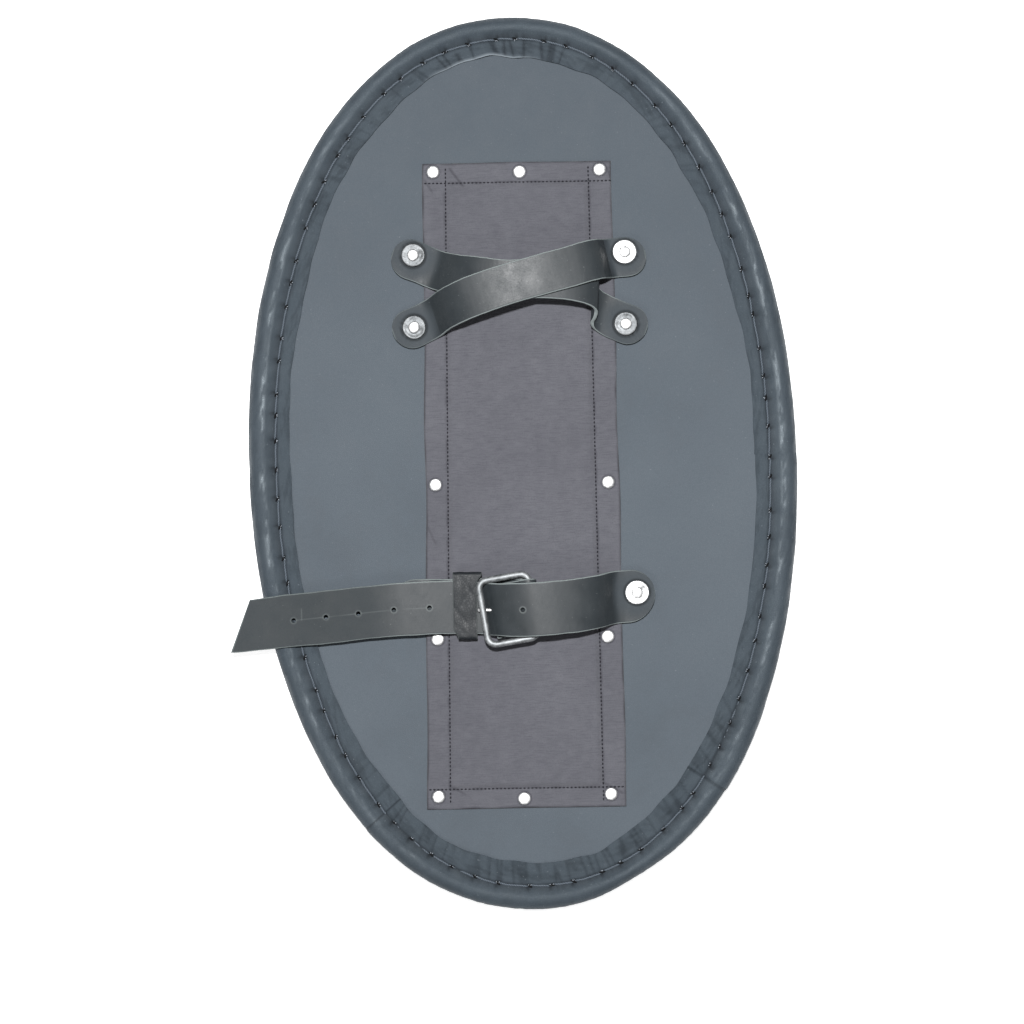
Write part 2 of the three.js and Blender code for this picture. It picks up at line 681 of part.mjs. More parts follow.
// Buckle strap: from its rivet under the tail, round the right bar and back on itself
function buckleStrapGeometry() {
  const rivetU = BUCKLE_RIVET_U;
  const v = BUCKLE_RIVET_V;
  const barCentre = barU(1, v - 3 * GAP);
  const { lerp } = THREE.MathUtils;
  const lift = (share) => lerp(lowerInKeeper, buckleLevel - foldRadius, share);
  const back = (share) => lerp(lowerInKeeper + LEATHER + GAP, buckleLevel + foldRadius, share);
  const keeperRight = KEEPER_CENTRE_U + KEEPER_WIDTH / 2;
  const keeperLeft = KEEPER_CENTRE_U - KEEPER_WIDTH / 2;
  const towardsKeeper = (along) => lerp(rivetU, keeperLeft, along);
  const towardsBar = (along) => lerp(keeperRight, barCentre, along);
  const lower = [
    [rivetU - TAB_BEYOND_BUCKLE_RIVET, v, tabLevel],
    [rivetU, v, tabLevel],
    [towardsKeeper(0.292), v, tabLevel],
    [towardsKeeper(0.535), v, lerp(tabLevel, lowerInKeeper, 0.15)],
    [towardsKeeper(0.753), v, lerp(tabLevel, lowerInKeeper, 0.75)],
    [keeperLeft, v, lowerInKeeper],
    [keeperRight, v, lowerInKeeper],
    [towardsBar(0.223), v, lift(0.04)],
    [towardsBar(0.412), v, lift(0.2)],
    [towardsBar(0.64), v - GAP, lift(0.58)],
    [towardsBar(0.829), v - 2 * GAP, lift(0.9)],
  ];
  const foldV = v - 3 * GAP;
  const fold = [-90, -45, 0, 45, 90].map((degrees) => {
    const turn = THREE.MathUtils.degToRad(degrees);
    return [barCentre + foldRadius * Math.cos(turn), foldV, buckleLevel + foldRadius * Math.sin(turn)];
  });
  const backTo = ([along, share]) => {
    const distance = along * FOLD_END_FROM_BAR;
    const drift = distance * Math.tan(THREE.MathUtils.degToRad(BUCKLE_TURN));
    return [barCentre - distance, foldV - drift, back(share)];
  };
  const upper = [[0.21, 0.9], [0.395, 0.66], [0.58, 0.38], [0.763, 0.2], [1, 0.08]].map(backTo);
  const half = FOREARM_STRAP_WIDTH / 2;
  const path = withRoundEnds(smooth([...lower, ...fold, ...upper], 64), half, true, false);
  const geometry = band({
    path, across: (centre) => acrossWide(leanWithBars(centre.x), half), roundStart: true,
  });
  const slotStart = barCentre - FOLD_SLOT_END_FROM_BAR;
  const slotEnd = barCentre + 2 * foldRadius;
  const slot = new THREE.BoxGeometry(slotEnd - slotStart, FOLD_SLOT_WIDTH, 6 * foldRadius);
  slot.translate((slotStart + slotEnd) / 2, TONGUE_V, buckleLevel);
  return cut(geometry, [slot, drillAt(rivetU, v, STRAP_SHANK_DIAMETER / 2 + GAP)]);
}

// Buckle, tongue and keeper

// Points of a rounded rectangle about the origin, counterclockwise, with few points at each corner
function roundedLoop(width, height, corner, cornerSteps) {
  const points = [];
  const centres = [[1, 1, 0], [-1, 1, 90], [-1, -1, 180], [1, -1, 270]];
  for (const [sx, sy, start] of centres) {
    for (let i = 0; i <= cornerSteps; i += 1) {
      const turn = THREE.MathUtils.degToRad(start + 90 * i / cornerSteps);
      const radial = new THREE.Vector2(Math.cos(turn), Math.sin(turn));
      const centre = new THREE.Vector2(sx * (width / 2 - corner), sy * (height / 2 - corner));
      points.push({ point: centre.addScaledVector(radial, corner), radial });
    }
  }
  return points;
}

function buckleFrameGeometry() {
  const width = BUCKLE_WIDTH - BUCKLE_WIRE;
  const length = BUCKLE_LENGTH - BUCKLE_WIRE;
  const sides = 8;
  const outlines = roundedLoop(width, length, BUCKLE_CORNER, 4).map(({ point, radial }) => (
    Array.from({ length: sides }, (_, k) => {
      const turn = 2 * Math.PI * (k + 0.5) / sides;
      const out = -BUCKLE_WIRE / 2 * Math.cos(turn);
      return new THREE.Vector3(
        point.x + radial.x * out, point.y + radial.y * out, BUCKLE_WIRE / 2 * Math.sin(turn),
      );
    })
  ));
  return loft(outlines, true);
}

// The tongue's straight shank, from the right bar past the left one, at the given radius
function tongueShank(radius) {
  const start = barU(1, TONGUE_V);
  const length = start - barU(-1, TONGUE_V) + TONGUE_BEYOND_BAR;
  const shoulder = length - radius;
  const tip = [[radius, shoulder], [radius * 0.6, length - radius * 0.2], [0, length]];
  const shank = turned([[0, 0], [radius, 0], ...tip], 8).rotateY(-Math.PI / 2);
  return shank.translate(start, TONGUE_V, tongueLevel);
}

function tongueGeometry() {
  const eye = new THREE.TorusGeometry(eyeRadius, TONGUE_WIRE / 2, 8, 18);
  eye.rotateX(Math.PI / 2).rotateZ(THREE.MathUtils.degToRad(BUCKLE_TURN));
  eye.translate(barU(1, TONGUE_V), TONGUE_V, buckleLevel);
  return geometryOf(solidOf(eye).add(solidOf(tongueShank(TONGUE_WIRE / 2))));
}

// A flat leather loop that stands around the two straps
function keeperGeometry() {
  const height = keeperTop - keeperBase;
  const outlines = roundedLoop(KEEPER_SPAN, height, KEEPER_CORNER, 3).map(({ point, radial }) => {
    const inner = point.clone().addScaledVector(radial, -KEEPER_LEATHER);
    const half = KEEPER_WIDTH / 2;
    return [
      new THREE.Vector3(-half, inner.x, inner.y),
      new THREE.Vector3(half, inner.x, inner.y),
      new THREE.Vector3(half, point.x, point.y),
      new THREE.Vector3(-half, point.x, point.y),
    ];
  });
  return loft(outlines, true).translate(KEEPER_CENTRE_U, KEEPER_CENTRE_V, (keeperTop + keeperBase) / 2);
}

// Assembly

function piece(name, geometry, finish) {
  const mesh = new THREE.Mesh(geometry, new THREE.MeshStandardMaterial(finish));
  mesh.name = name;
  return mesh;
}

function fittings() {
  const group = new THREE.Group();
  group.rotation.z = THREE.MathUtils.degToRad(FITTINGS_LEAN);
  group.add(piece('arm_pad', padGeometry(), padCloth));
  padRivetPlaces().forEach(([u, v], i) => {
    const rivet = piece(`pad_rivet_${String(i + 1).padStart(2, '0')}`, padRivetGeometry(), brightSteel);
    rivet.position.set(u, v, 0);
    group.add(rivet);
  });
  for (const [name, [u, v]] of Object.entries(strapRivetPlaces)) {
    const rivet = piece(`strap_rivet_${name}`, strapRivetGeometry(), brightSteel);
    rivet.position.set(u, v, 0);
    const washer = piece(`strap_washer_${name}`, washerGeometry(), brightSteel);
    washer.position.set(u, v, washerBase);
    group.add(rivet, washer);
  }
  group.add(piece('hand_strap_over', overStrapGeometry(), strapLeather));
  group.add(piece('hand_strap_under', underStrapGeometry(), strapLeather));
  group.add(piece('forearm_strap', forearmStrapGeometry(), strapLeather));
  group.add(piece('buckle_strap', buckleStrapGeometry(), strapLeather));
  group.add(piece('strap_keeper', keeperGeometry(), strapLeather));
  const frame = piece('buckle_frame', buckleFrameGeometry(), steel);
  frame.position.set(BUCKLE_CENTRE_U, BUCKLE_CENTRE_V, buckleLevel);
  frame.rotation.z = THREE.MathUtils.degToRad(BUCKLE_TURN);
  group.add(frame);
  group.add(piece('buckle_tongue', tongueGeometry(), steel));
  return group;
}

function shield() {
  const group = new THREE.Group();
  group.add(piece('board', boardGeometry(), boardLeather));
  group.add(piece('edge_binding', bindingGeometry(), edgeLeather));
  group.add(fittings());
  return group;
}

export default shield();
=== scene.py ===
# %% [markdown]
# # An oval shield, seen from its back
#
# A flat leather-faced board, 840 by 518 mm, has a stuffed and sewn leather binding round its edge and a riveted cloth
# arm pad down its middle. Two hand straps cross over the upper part. A forearm strap with a wire buckle crosses the
# lower part and ends in a long punched tail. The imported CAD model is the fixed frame, and every piece is worked out
# in it: +X is to the right, +Y is towards the hand straps and +Z is out of the shield's back.

import math

import bpy
import numpy as np
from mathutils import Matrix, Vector


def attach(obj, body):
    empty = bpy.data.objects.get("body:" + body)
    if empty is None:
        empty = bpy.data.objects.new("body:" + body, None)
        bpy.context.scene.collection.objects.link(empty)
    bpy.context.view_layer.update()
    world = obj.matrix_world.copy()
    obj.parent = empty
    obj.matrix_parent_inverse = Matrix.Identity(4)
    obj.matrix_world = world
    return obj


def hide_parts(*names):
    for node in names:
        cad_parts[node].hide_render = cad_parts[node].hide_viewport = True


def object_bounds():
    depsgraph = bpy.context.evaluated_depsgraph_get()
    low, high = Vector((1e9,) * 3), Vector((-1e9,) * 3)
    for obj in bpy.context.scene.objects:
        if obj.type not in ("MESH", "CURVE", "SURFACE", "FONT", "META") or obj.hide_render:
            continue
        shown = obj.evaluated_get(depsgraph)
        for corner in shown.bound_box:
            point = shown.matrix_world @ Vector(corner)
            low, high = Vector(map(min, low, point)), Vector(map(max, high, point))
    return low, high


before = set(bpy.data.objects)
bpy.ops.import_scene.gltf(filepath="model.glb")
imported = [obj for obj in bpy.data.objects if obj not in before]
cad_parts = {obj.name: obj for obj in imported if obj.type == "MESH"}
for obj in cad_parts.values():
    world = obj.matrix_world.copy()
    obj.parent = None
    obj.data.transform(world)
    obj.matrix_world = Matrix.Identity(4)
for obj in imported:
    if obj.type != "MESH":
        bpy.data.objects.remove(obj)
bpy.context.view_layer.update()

# %% [markdown]
# ## Working in millimetres
#
# Shapes are worked out in millimetres and scaled once, when a mesh is made. A surface is a grid of points: rows run
# along the piece and columns round its section, whose last point joins its first. Rows may close in the same way, or
# both ends get a fan of triangles. The faces are turned round if the volume inside comes out negative.

# %% A mesh from a grid of points
MM = 0.001
UP = np.array([0.0, 0.0, 1.0])


def grid_faces(rows, columns, closed_rows):
    """Quads between neighbouring grid points, and each corner's place in a UV grid with one more row and column."""
    i, j = np.arange(rows if closed_rows else rows - 1)[:, None], np.arange(columns)[None, :]
    steps = ((0, 0), (0, 1), (1, 1), (1, 0))
    quads = np.stack([((i + a) % rows * columns + (j + b) % columns).ravel() for a, b in steps], axis=1)
    return quads, np.stack([((i + a) * (columns + 1) + j + b).ravel() for a, b in steps], axis=1)


def end_fans(rows, columns):
    """Triangles from the two ends' middle points, which are numbered after the grid's, to the ends' own points."""
    j, count = np.arange(columns), rows * columns
    after = (j + 1) % columns
    return np.concatenate([np.stack([np.full(columns, count), after, j], 1),
                           np.stack([np.full(columns, count + 1), count - columns + j, count - columns + after], 1)])


def volume_of(points, faces):
    """Signed volume: a sixth of the sum of the box products of each triangle's corners."""
    triples = [[points[faces[:, c]] for c in (0, k, k + 1)] for k in range(1, faces.shape[1] - 1)]
    return sum(np.einsum("ij,ij->i", a, np.cross(b, c)).sum() for a, b, c in triples) / 6


def make_object(name, points, quads, fans, uv, masks):
    """One mesh object from points in millimetres, quads, triangles, a UV for every corner and masks per point."""
    centred = points - points.mean(axis=0)
    volume = volume_of(centred, quads) + volume_of(centred, fans)
    if volume < 0:
        uv = np.concatenate([uv[:quads.size].reshape(-1, 4, 2)[:, ::-1].reshape(-1, 2),
                             uv[quads.size:].reshape(-1, 3, 2)[:, ::-1].reshape(-1, 2)])
        quads, fans = quads[:, ::-1], fans[:, ::-1]
    mesh = bpy.data.meshes.new(name)
    mesh.from_pydata((points * MM).tolist(), [], quads.tolist() + fans.tolist())
    mesh.uv_layers.new(name="UVMap").data.foreach_set("uv", uv.astype(np.float32).ravel())
    for mask, values in masks.items():
        mesh.attributes.new(mask, "FLOAT", "POINT").data.foreach_set("value", values.astype(np.float32).ravel())
    mesh.polygons.foreach_set("use_smooth", np.ones(len(mesh.polygons), bool))
    mesh.update()
    made = bpy.data.objects.new(name, mesh)
    bpy.context.scene.collection.objects.link(made)
    print(f"{name}: {len(quads) * 2 + len(fans)} triangles, {abs(volume) / 1000:.1f} cm3")
    return made


def surface(name, points, uv, closed_rows=False, masks=None):
    """A grid of points [rows, columns, 3] as a closed mesh. uv is [rows + 1, columns + 1, 2], in metres."""
    rows, columns = points.shape[:2]
    quads, where = grid_faces(rows, columns, closed_rows)
    flat, fans = points.reshape(-1, 3), np.zeros((0, 3), int)
    corner_uv = [uv.reshape(-1, 2)[where.ravel()]]
    masks = {key: np.broadcast_to(value, (rows, columns)).ravel() for key, value in (masks or {}).items()}
    if not closed_rows:
        fans, j = end_fans(rows, columns), np.arange(columns)
        flat = np.concatenate([flat, points[[0, -1]].mean(axis=1)])
        masks = {key: np.append(value, [value[0], value[-1]]) for key, value in masks.items()}
        for row, first, second in ((0, 1, 0), (rows - 1, 0, 1)):
            centre = np.broadcast_to(uv[row, :-1].mean(axis=0), (columns, 2))
            corner_uv.append(np.stack([centre, uv[row, j + first], uv[row, j + second]], 1).reshape(-1, 2))
    return make_object(name, flat, quads, fans, np.concatenate(corner_uv), masks)


def scattered(name, shapes):
    """Many small closed grids [n, rows, columns, 3] as one object."""
    n, rows, columns = shapes.shape[:3]
    quads, where = grid_faces(rows, columns, False)
    fans = end_fans(rows, columns)
    flat = np.concatenate([shapes.reshape(n, -1, 3), shapes[:, :1].mean(axis=2), shapes[:, -1:].mean(axis=2)], axis=1)
    offset = (np.arange(n) * flat.shape[1])[:, None, None]
    uv = np.stack([(where // (columns + 1)) / rows, (where % (columns + 1)) / columns], axis=2).reshape(-1, 2)
    uv = np.concatenate([np.tile(uv, (n, 1)), np.zeros((n * fans.size, 2))])
    quads, fans = (quads + offset).reshape(-1, 4), (fans + offset).reshape(-1, 3)
    return make_object(name, flat.reshape(-1, 3), quads, fans, uv, {})


# %% [markdown]
# ## Small tools for shapes
#
# Hand-made leather and cloth are never quite straight. A smooth unevenness is the sum of a few sine waves with
# seeded directions and phases, so it is the same at every run and needs no picture. Steps, humps and quarter circles
# shape everything else.

# %% Curves, lengths and directions
def uneven(x, y, size, seed, waves=7):
    """About -1 to 1: the mean of sine waves of roughly the given wavelength, in seeded directions, scaled up."""
    rng = np.random.default_rng(seed)
    total = 0.0
    for _ in range(waves):
        turn, phase = rng.uniform(0, 2 * np.pi, 2)
        length = size * rng.uniform(0.6, 1.7)
        total = total + np.sin(2 * np.pi * (x * np.cos(turn) + y * np.sin(turn)) / length + phase)
    return total / np.sqrt(waves) / 1.2


def unit(x):
    return np.clip(x, 0, 1)


def soft_step(x, start, end):
    """0 before start, 1 after end, smooth between them (3t^2 - 2t^3)."""
    t = unit((x - start) / (end - start))
    return t * t * (3 - 2 * t)


def window(x, start, full, fall, end):
    """Rises from 0 at start to 1 at full, and falls from fall to 0 at end."""
    return soft_step(x, start, full) * (1 - soft_step(x, fall, end))


def hump(x, width):
    """1 at x = 0, fading on both sides: exp(-(x / width)^2)."""
    return np.exp(-(x / width) ** 2)


def quarter(x, least=0.0):
    """A quarter circle: 0 at x = 0, upright at first and level at x = 1, where it reaches 1."""
    return np.sqrt(np.clip(1 - (1 - unit(x)) ** 2, least, 1))


def circle(count):
    turn = np.arange(count) / count * 2 * np.pi
    return np.cos(turn), np.sin(turn)


def direction(vectors):
    return vectors / np.linalg.norm(vectors, axis=-1, keepdims=True)


def lengths(path, closing=None):
    """Distance of each point along a path, and one more after the last if closing is given."""
    along = np.append(0, np.cumsum(np.linalg.norm(np.diff(path, axis=0), axis=1)))
    return along if closing is None else np.append(along, along[-1] + closing)


def uv_grid(along, across):
    """UV in metres from distances in millimetres."""
    return np.stack(np.meshgrid(along, across, indexing="ij"), axis=2) * MM


def at_height(flat, z):
    """Adds a third coordinate to points in the plane of the board."""
    return np.concatenate([flat, np.broadcast_to(z, flat.shape[:-1])[..., None]], axis=-1)


def turned_by(points, angle):
    """Points turned about +Z, heights unchanged."""
    c, s = math.cos(angle), math.sin(angle)
    x, y = points[..., 0] * c - points[..., 1] * s, points[..., 0] * s + points[..., 1] * c
    return np.stack([x, y, points[..., 2]], axis=-1)


# %% [markdown]
# ## The oval
#
# The outline is a superellipse: |x/a|^n + |y/b|^n = 1, with n a little over 2, so its sides are slightly fuller
# than an ellipse's. Stitches are counted along the edge, so the outline is sampled densely, its length is added up,
# and stations are read off at even steps.

# %% The oval's outline
OVAL_SIZE, OVAL_POWER = np.array([518.0, 840.0]), 2.11
BOARD_THICKNESS = 9.0
BOARD_MIDDLE = BOARD_THICKNESS / 2
GAP = 0.3
EDGE_STATIONS = 1400


def oval_at(angle):
    """Point and inward direction: signed powers of cosine and sine, and the slope of the superellipse there."""
    turn = np.stack([np.cos(angle), np.sin(angle)], axis=-1)
    share = np.sign(turn) * np.abs(turn) ** (2 / OVAL_POWER)
    slope = np.sign(share) * np.abs(share) ** (OVAL_POWER - 1) / (OVAL_SIZE / 2)
    return share * OVAL_SIZE / 2, -direction(slope)


dense_angle = np.linspace(0, 2 * np.pi, 20001)
dense_outline = oval_at(dense_angle)[0]
dense_along = lengths(dense_outline)
oval_round = dense_along[-1]


def oval_stations(count):
    """Even distances along the outline, with their angles, points and inward directions."""
    along = (np.arange(count) + 0.5) / count * oval_round
    angle = np.interp(along, dense_along, dense_angle)
    return along, angle, *oval_at(angle)


def station_of(x, y):
    """Distance along the outline of its point nearest to a place."""
    return dense_along[np.argmin(np.hypot(*(dense_outline - (x, y)).T))]


edge_along, edge_angle, edge_place, edge_inward = oval_stations(EDGE_STATIONS)
print("outline length, mm:", round(oval_round, 1))

# %% [markdown]
# ## The stuffed edge
#
# The rim is a strip of leather wrapped over a soft core and sewn through the board along the foot of the roll, with
# a flat flange on either face. It could be a curve with a round bevel, but a sewn edge is not round: every stitch
# pulls the leather down, the roll is lumpy where the stuffing is, and the flange gathers into small folds where the
# oval turns tightly. So the section is a profile carried round the oval, and its points are pushed in and out by
# functions of the distance along the edge and the place on the section.

# %% Sizes of the edge, and its stitches
PADDING_BEYOND_BOARD = 10.0
ROLL_HEIGHT, EDGE_LEATHER = 22.0, 2.0
ROLL_WIDTHS = (24.5, 18.0, 19.5)  # at the sides, the top and the bottom
FLANGE_WIDTHS = (15.0, 18.5, 23.0)
STITCH_FROM_ROLL, STITCH_COUNT = 1.6, 82


def width_at(angle, widths):
    """Width at the sides, passing to the one at the top or bottom with the square of the angle's sine."""
    sides, top, bottom = widths
    return sides + (np.where(np.sin(angle) > 0, top, bottom) - sides) * np.sin(angle) ** 2


def round_gap(along, place):
    """Signed distance along the closed edge from a place."""
    return (along - place + oval_round / 2) % oval_round - oval_round / 2


stitch_rng = np.random.default_rng(11)
stitch_at = (np.arange(STITCH_COUNT) + stitch_rng.uniform(-0.17, 0.17, STITCH_COUNT)) / STITCH_COUNT * oval_round


def past_stitch(along):
    """Signed distance along the edge from the nearest stitch hole."""
    gap = round_gap(along[:, None], stitch_at[None, :])
    return gap[np.arange(len(along)), np.abs(gap).argmin(axis=1)]


# %% Lumps, puckers and folds of the edge
# Places round the oval where the flange gathers, with reach and strength, and the laps of the strip's ends
GATHERS = [((-15, 420), 105, 1.0), ((20, -420), 150, 1.1), ((190, -290), 90, 0.8), ((-150, -350), 80, 0.6),
           ((-190, 290), 60, 0.35), ((180, 300), 60, 0.35)]
LAPS = [((178.5, -315), 1.5), ((-158, -338), 1.1)]
gather = sum(strength * hump(round_gap(edge_along, station_of(*place)), reach) for place, reach, strength in GATHERS)
past_laps = [(round_gap(edge_along, station_of(*place)), height) for place, height in LAPS]
lap = sum(height * window(past, -0.6, 0.6, 25, 110) for past, height in past_laps)
# Lap lines mark the step at each lap; they are painted dark on the edge leather as shade.
lap_line = sum(hump(past + 0.9, 1.0) for past, _ in past_laps)
DRAWN_IN, DRAWN_IN_X = 3.8, 92  # the roll is pulled in a little at the lower right


# %% The edge's section, pushed in and out
def edge_points():
    """Rows round the oval, columns round the section.

    The section starts at the back flange's inner end, crosses the stitch line, goes round the roll as an ellipse,
    crosses the front stitch line to the front flange's end, and returns through the slot that holds the board.
    """
    width, half = width_at(edge_angle, ROLL_WIDTHS), ROLL_HEIGHT / 2
    slot = BOARD_MIDDLE + GAP
    face = slot + EDGE_LEATHER
    near = np.abs(past_stitch(edge_along))
    pull, puff = hump(near, 3.2), 1 - hump(near, 9.0)
    drawn_in = DRAWN_IN * hump(edge_place[:, 0] - DRAWN_IN_X, 45) * (edge_place[:, 1] < 0)
    wavy = 1.7 * uneven(edge_along, 0, 130, 3) + 0.8 * uneven(edge_along, 0, 34, 4)
    flange_end = width + width_at(edge_angle, FLANGE_WIDTHS) + wavy * (0.7 + 0.6 * gather)
    columns = []

    def add(inset, height, crease=0.0):
        columns.append(np.broadcast_arrays(inset, height, crease, edge_along)[:3])

    def flange(side, order):
        """Flange leather from its end to the foot of the roll: thin at the end, puffed between the stitches."""
        for t in order:
            inset = width + 0.4 + (flange_end - width - 0.4) * t
            from_seam = inset - width - STITCH_FROM_ROLL
            sunk = 0.75 * hump(from_seam, 1.3) + 0.9 * pull * hump(from_seam, 3.4) + 0.5 * soft_step(t, 0.75, 1.0)
            swell = 0.7 * puff * hump(inset - width - 6, 4.5)
            ripple = uneven(edge_along + 9 * (1 - t) * np.sin(edge_along / 140.0), 4 * t, 22, 8 + side)
            fold = gather * np.maximum(ripple, 0) ** 1.6 * (0.35 + 0.65 * t)
            crease = unit(1.4 * gather) * hump(ripple - 0.1, 0.24) * (0.6 + 0.4 * (edge_place[:, 1] > 0))
            small = 0.22 * uneven(edge_along, inset * 1.5, 12, 9 + side)
            height = face - sunk + swell + 1.2 * fold - 0.6 * crease + small + lap * (1 - 0.3 * t)
            # The third value is painted shade, in the folds and at the laps' steps.
            add(inset, side * np.maximum(height, slot + 0.7), 0.8 * crease + lap_line)

    flange(1, [1.0, 0.97, 0.9, 0.8, 0.7, 0.6, 0.5, 0.42, 0.34, 0.27, 0.2, 0.14, 0.09, 0.04, 0.0])
    root = math.asin(face / half)
    for t in np.linspace(0.06, 0.94, 30):
        turn = root + (2 * np.pi - 2 * root) * t
        pleat = 0.55 * (hump(t, 0.13) + hump(1 - t, 0.13)) * (puff - 0.7 * pull)
        lump = 0.35 * uneven(edge_along, 40 * t, 75, 5) + 0.22 * uneven(edge_along, 60 * t, 26, 6)
        wrinkle = 0.16 * uneven(edge_along, 26 * t, 8, 7) * (0.5 + gather)
        grown = 0.62 * (pleat + lump + wrinkle) + 0.55 * lap * np.sin(np.pi * t) ** 0.3 - 0.25
        bulge = (1.8 * np.clip(gather, 0, 1.1) - drawn_in) * (1 - np.cos(turn)) / 2
        add(width / 2 + (width / 2 + grown) * np.cos(turn) - bulge, (half + grown) * np.sin(turn), lap_line)
    flange(-1, [0.0, 0.09, 0.2, 0.34, 0.5, 0.7, 0.9, 0.97, 1.0])
    slot_line = [(flange_end - 0.5, slot + 0.2), (flange_end - 1.2, slot), (width + 6, slot),
                 (PADDING_BEYOND_BOARD, slot)]
    for inset, height in [(inset, -height) for inset, height in slot_line] + slot_line[::-1]:
        add(inset, height)
    inset, height, crease = np.array(columns).transpose(1, 2, 0)
    flat = edge_place[:, None, :] + edge_inward[:, None, :] * inset[:, :, None]
    return at_height(flat, BOARD_MIDDLE + height), inset, height, crease, (flange_end[:, None] - inset) * (height > 0)


edge_grid, edge_inset, edge_height, edge_fold_shade, edge_from_end = edge_points()
edge_uv = uv_grid(np.append(edge_along, oval_round), lengths(edge_grid[0], 2))
past_roll = edge_inset - width_at(edge_angle, ROLL_WIDTHS)[:, None]
past_seam = past_roll - STITCH_FROM_ROLL
hole_past = past_stitch(edge_along)[:, None]
along = edge_along[:, None]
blotches = uneven(along, 3.0 * edge_inset, 42, 12) + 0.7 * uneven(along, 6.0 * edge_inset, 13, 13)
top_middle = np.exp(-((edge_place[:, 0] + 30) / 55) ** 4) * (edge_place[:, 1] > 0)
on_roll = past_roll < 0
binding = surface("edge_leather_roll", edge_grid, edge_uv, closed_rows=True, masks={
    # Painted shade: dark lines in the sunk stitch groove on both sides of the thread.
    "groove": hump(past_seam, 1.9),
    "flange": soft_step(past_roll, 1.0, 4.0),
    "worn": unit((np.abs(edge_height) - 8.5) / 3) * on_roll,
    # The sides of the roll are polished: glossier, and also lighter in colour as a painted sheen.
    "polish_and_painted_sheen": np.cos(edge_angle)[:, None] ** 2 * unit(0.35 + 1.3 * blotches) * on_roll * unit(edge_height / 6),
    # Painted shade: near-black dots at the awl holes.
    "holes": np.exp(-(hole_past / 3.4) ** 4) * hump(past_seam - 0.35 * hole_past, 1.2),
    # Painted shade in the folds and at the laps' steps, plus random dark blotches on the flange.
    "crease": unit(edge_fold_shade + 0.4 * unit(blotches) * (past_roll > 2.5)),
    # Painted highlight: a pale line along the flange's cut end at the top.
    "painted_end_highlight": hump(edge_from_end - 0.8, 0.8) * top_middle[:, None],
})

# %% [markdown]
# ## Saddle stitching
#
# One thick waxed thread runs in the groove at the foot of the roll and dives through a hole at every stitch. Beside
# each hole a short end of thread stands up. The thread is a tube: a circle carried along the stitch line, lowered
# near every hole. The holes are small dimples coloured near-black, painted shade, and the ends short bent tubes, all
# placed from one array; the ends get a much lighter copy of the thread's colour, a painted highlight.

# %% A tube along a path
def frames_along(path, closed):
    """Two directions square to a path, the second as near to +Z as it can be."""
    along = direction(np.roll(path, -1, axis=0) - np.roll(path, 1, axis=0) if closed else np.gradient(path, axis=0))
    side = direction(np.cross(along, UP))
    return side, np.cross(side, along)


def tube_grid(path, radius, sides, closed=False, frames=None):
    """Points of a tube: centre + radius * (cos t * side + sin t * up), for t round the section."""
    side, up = frames or frames_along(path, closed)
    cos, sin = circle(sides)
    ring = cos[None, :, None] * side[:, None, :] + sin[None, :, None] * up[:, None, :]
    return path[:, None, :] + np.reshape(radius, (-1, 1, 1)) * ring


def tube_uv(path, thick, sides, closed=False):
    """UV of a tube: distance along the path, and distance round the section."""
    closing = np.linalg.norm(path[0] - path[-1]) if closed else 0
    return uv_grid(lengths(path, closing), np.linspace(0, np.pi * thick, sides + 1))


# %% Thread, holes and thread ends
THREAD, THREAD_SIDES = 1.9, 7
LEATHER_FACE = GAP + EDGE_LEATHER  # height of the flange's face over the board's


def seam_path(side):
    """The stitch line on one face, slanting from hole to hole and dipping under the leather at each."""
    along, angle, point, inward = oval_stations(2000)
    past = past_stitch(along)
    near, run = np.abs(past), np.clip(past, -9, 9)
    wander = 0.25 * uneven(along, 0, 40, 21) + 0.08 * (9 * np.tanh(run / 1.2) - run)
    inset = width_at(angle, ROLL_WIDTHS) + STITCH_FROM_ROLL + wander
    level = LEATHER_FACE - 0.75 + 0.4 * soft_step(near, 2, 9) - 1.7 * hump(near, 2.7)
    return at_height(point + inward * inset[:, None], BOARD_MIDDLE + side * (BOARD_MIDDLE + level))


stitch_angle = np.interp(stitch_at % oval_round, edge_along, edge_angle)
hole_point, hole_inward = oval_at(stitch_angle)
hole_along = np.stack([-hole_inward[:, 1], hole_inward[:, 0]], axis=1)
hole_centre = hole_point + hole_inward * (width_at(stitch_angle, ROLL_WIDTHS) + STITCH_FROM_ROLL)[:, None]


def hole_domes(side):
    """Shallow dimples, near-black as painted shade of the holes, longer than wide: each row is an ellipse in the plane
    of the face, slanted a little.
    """
    radius, level = np.array([0.7, 1.15, 1.05, 0.5]), np.array([-0.7, -0.4, 0.75, 0.95])
    slant = np.random.default_rng(41).uniform(0.1, 0.7, STITCH_COUNT)[:, None]
    long_way = hole_along * np.cos(slant) + hole_inward * np.sin(slant)
    short_way = hole_inward * np.cos(slant) - hole_along * np.sin(slant)
    stretch = np.random.default_rng(42).uniform(2.2, 3.3, STITCH_COUNT)[:, None, None, None]
    cos, sin = [wave[None, None, :, None] for wave in circle(10)]
    ring = cos * long_way[:, None, None, :] * stretch + sin * short_way[:, None, None, :]
    flat = hole_centre[:, None, None, :] + radius[None, :, None, None] * ring
    z = BOARD_MIDDLE + side * (BOARD_MIDDLE + LEATHER_FACE - 0.95 + level)
    return at_height(flat, z[None, :, None])


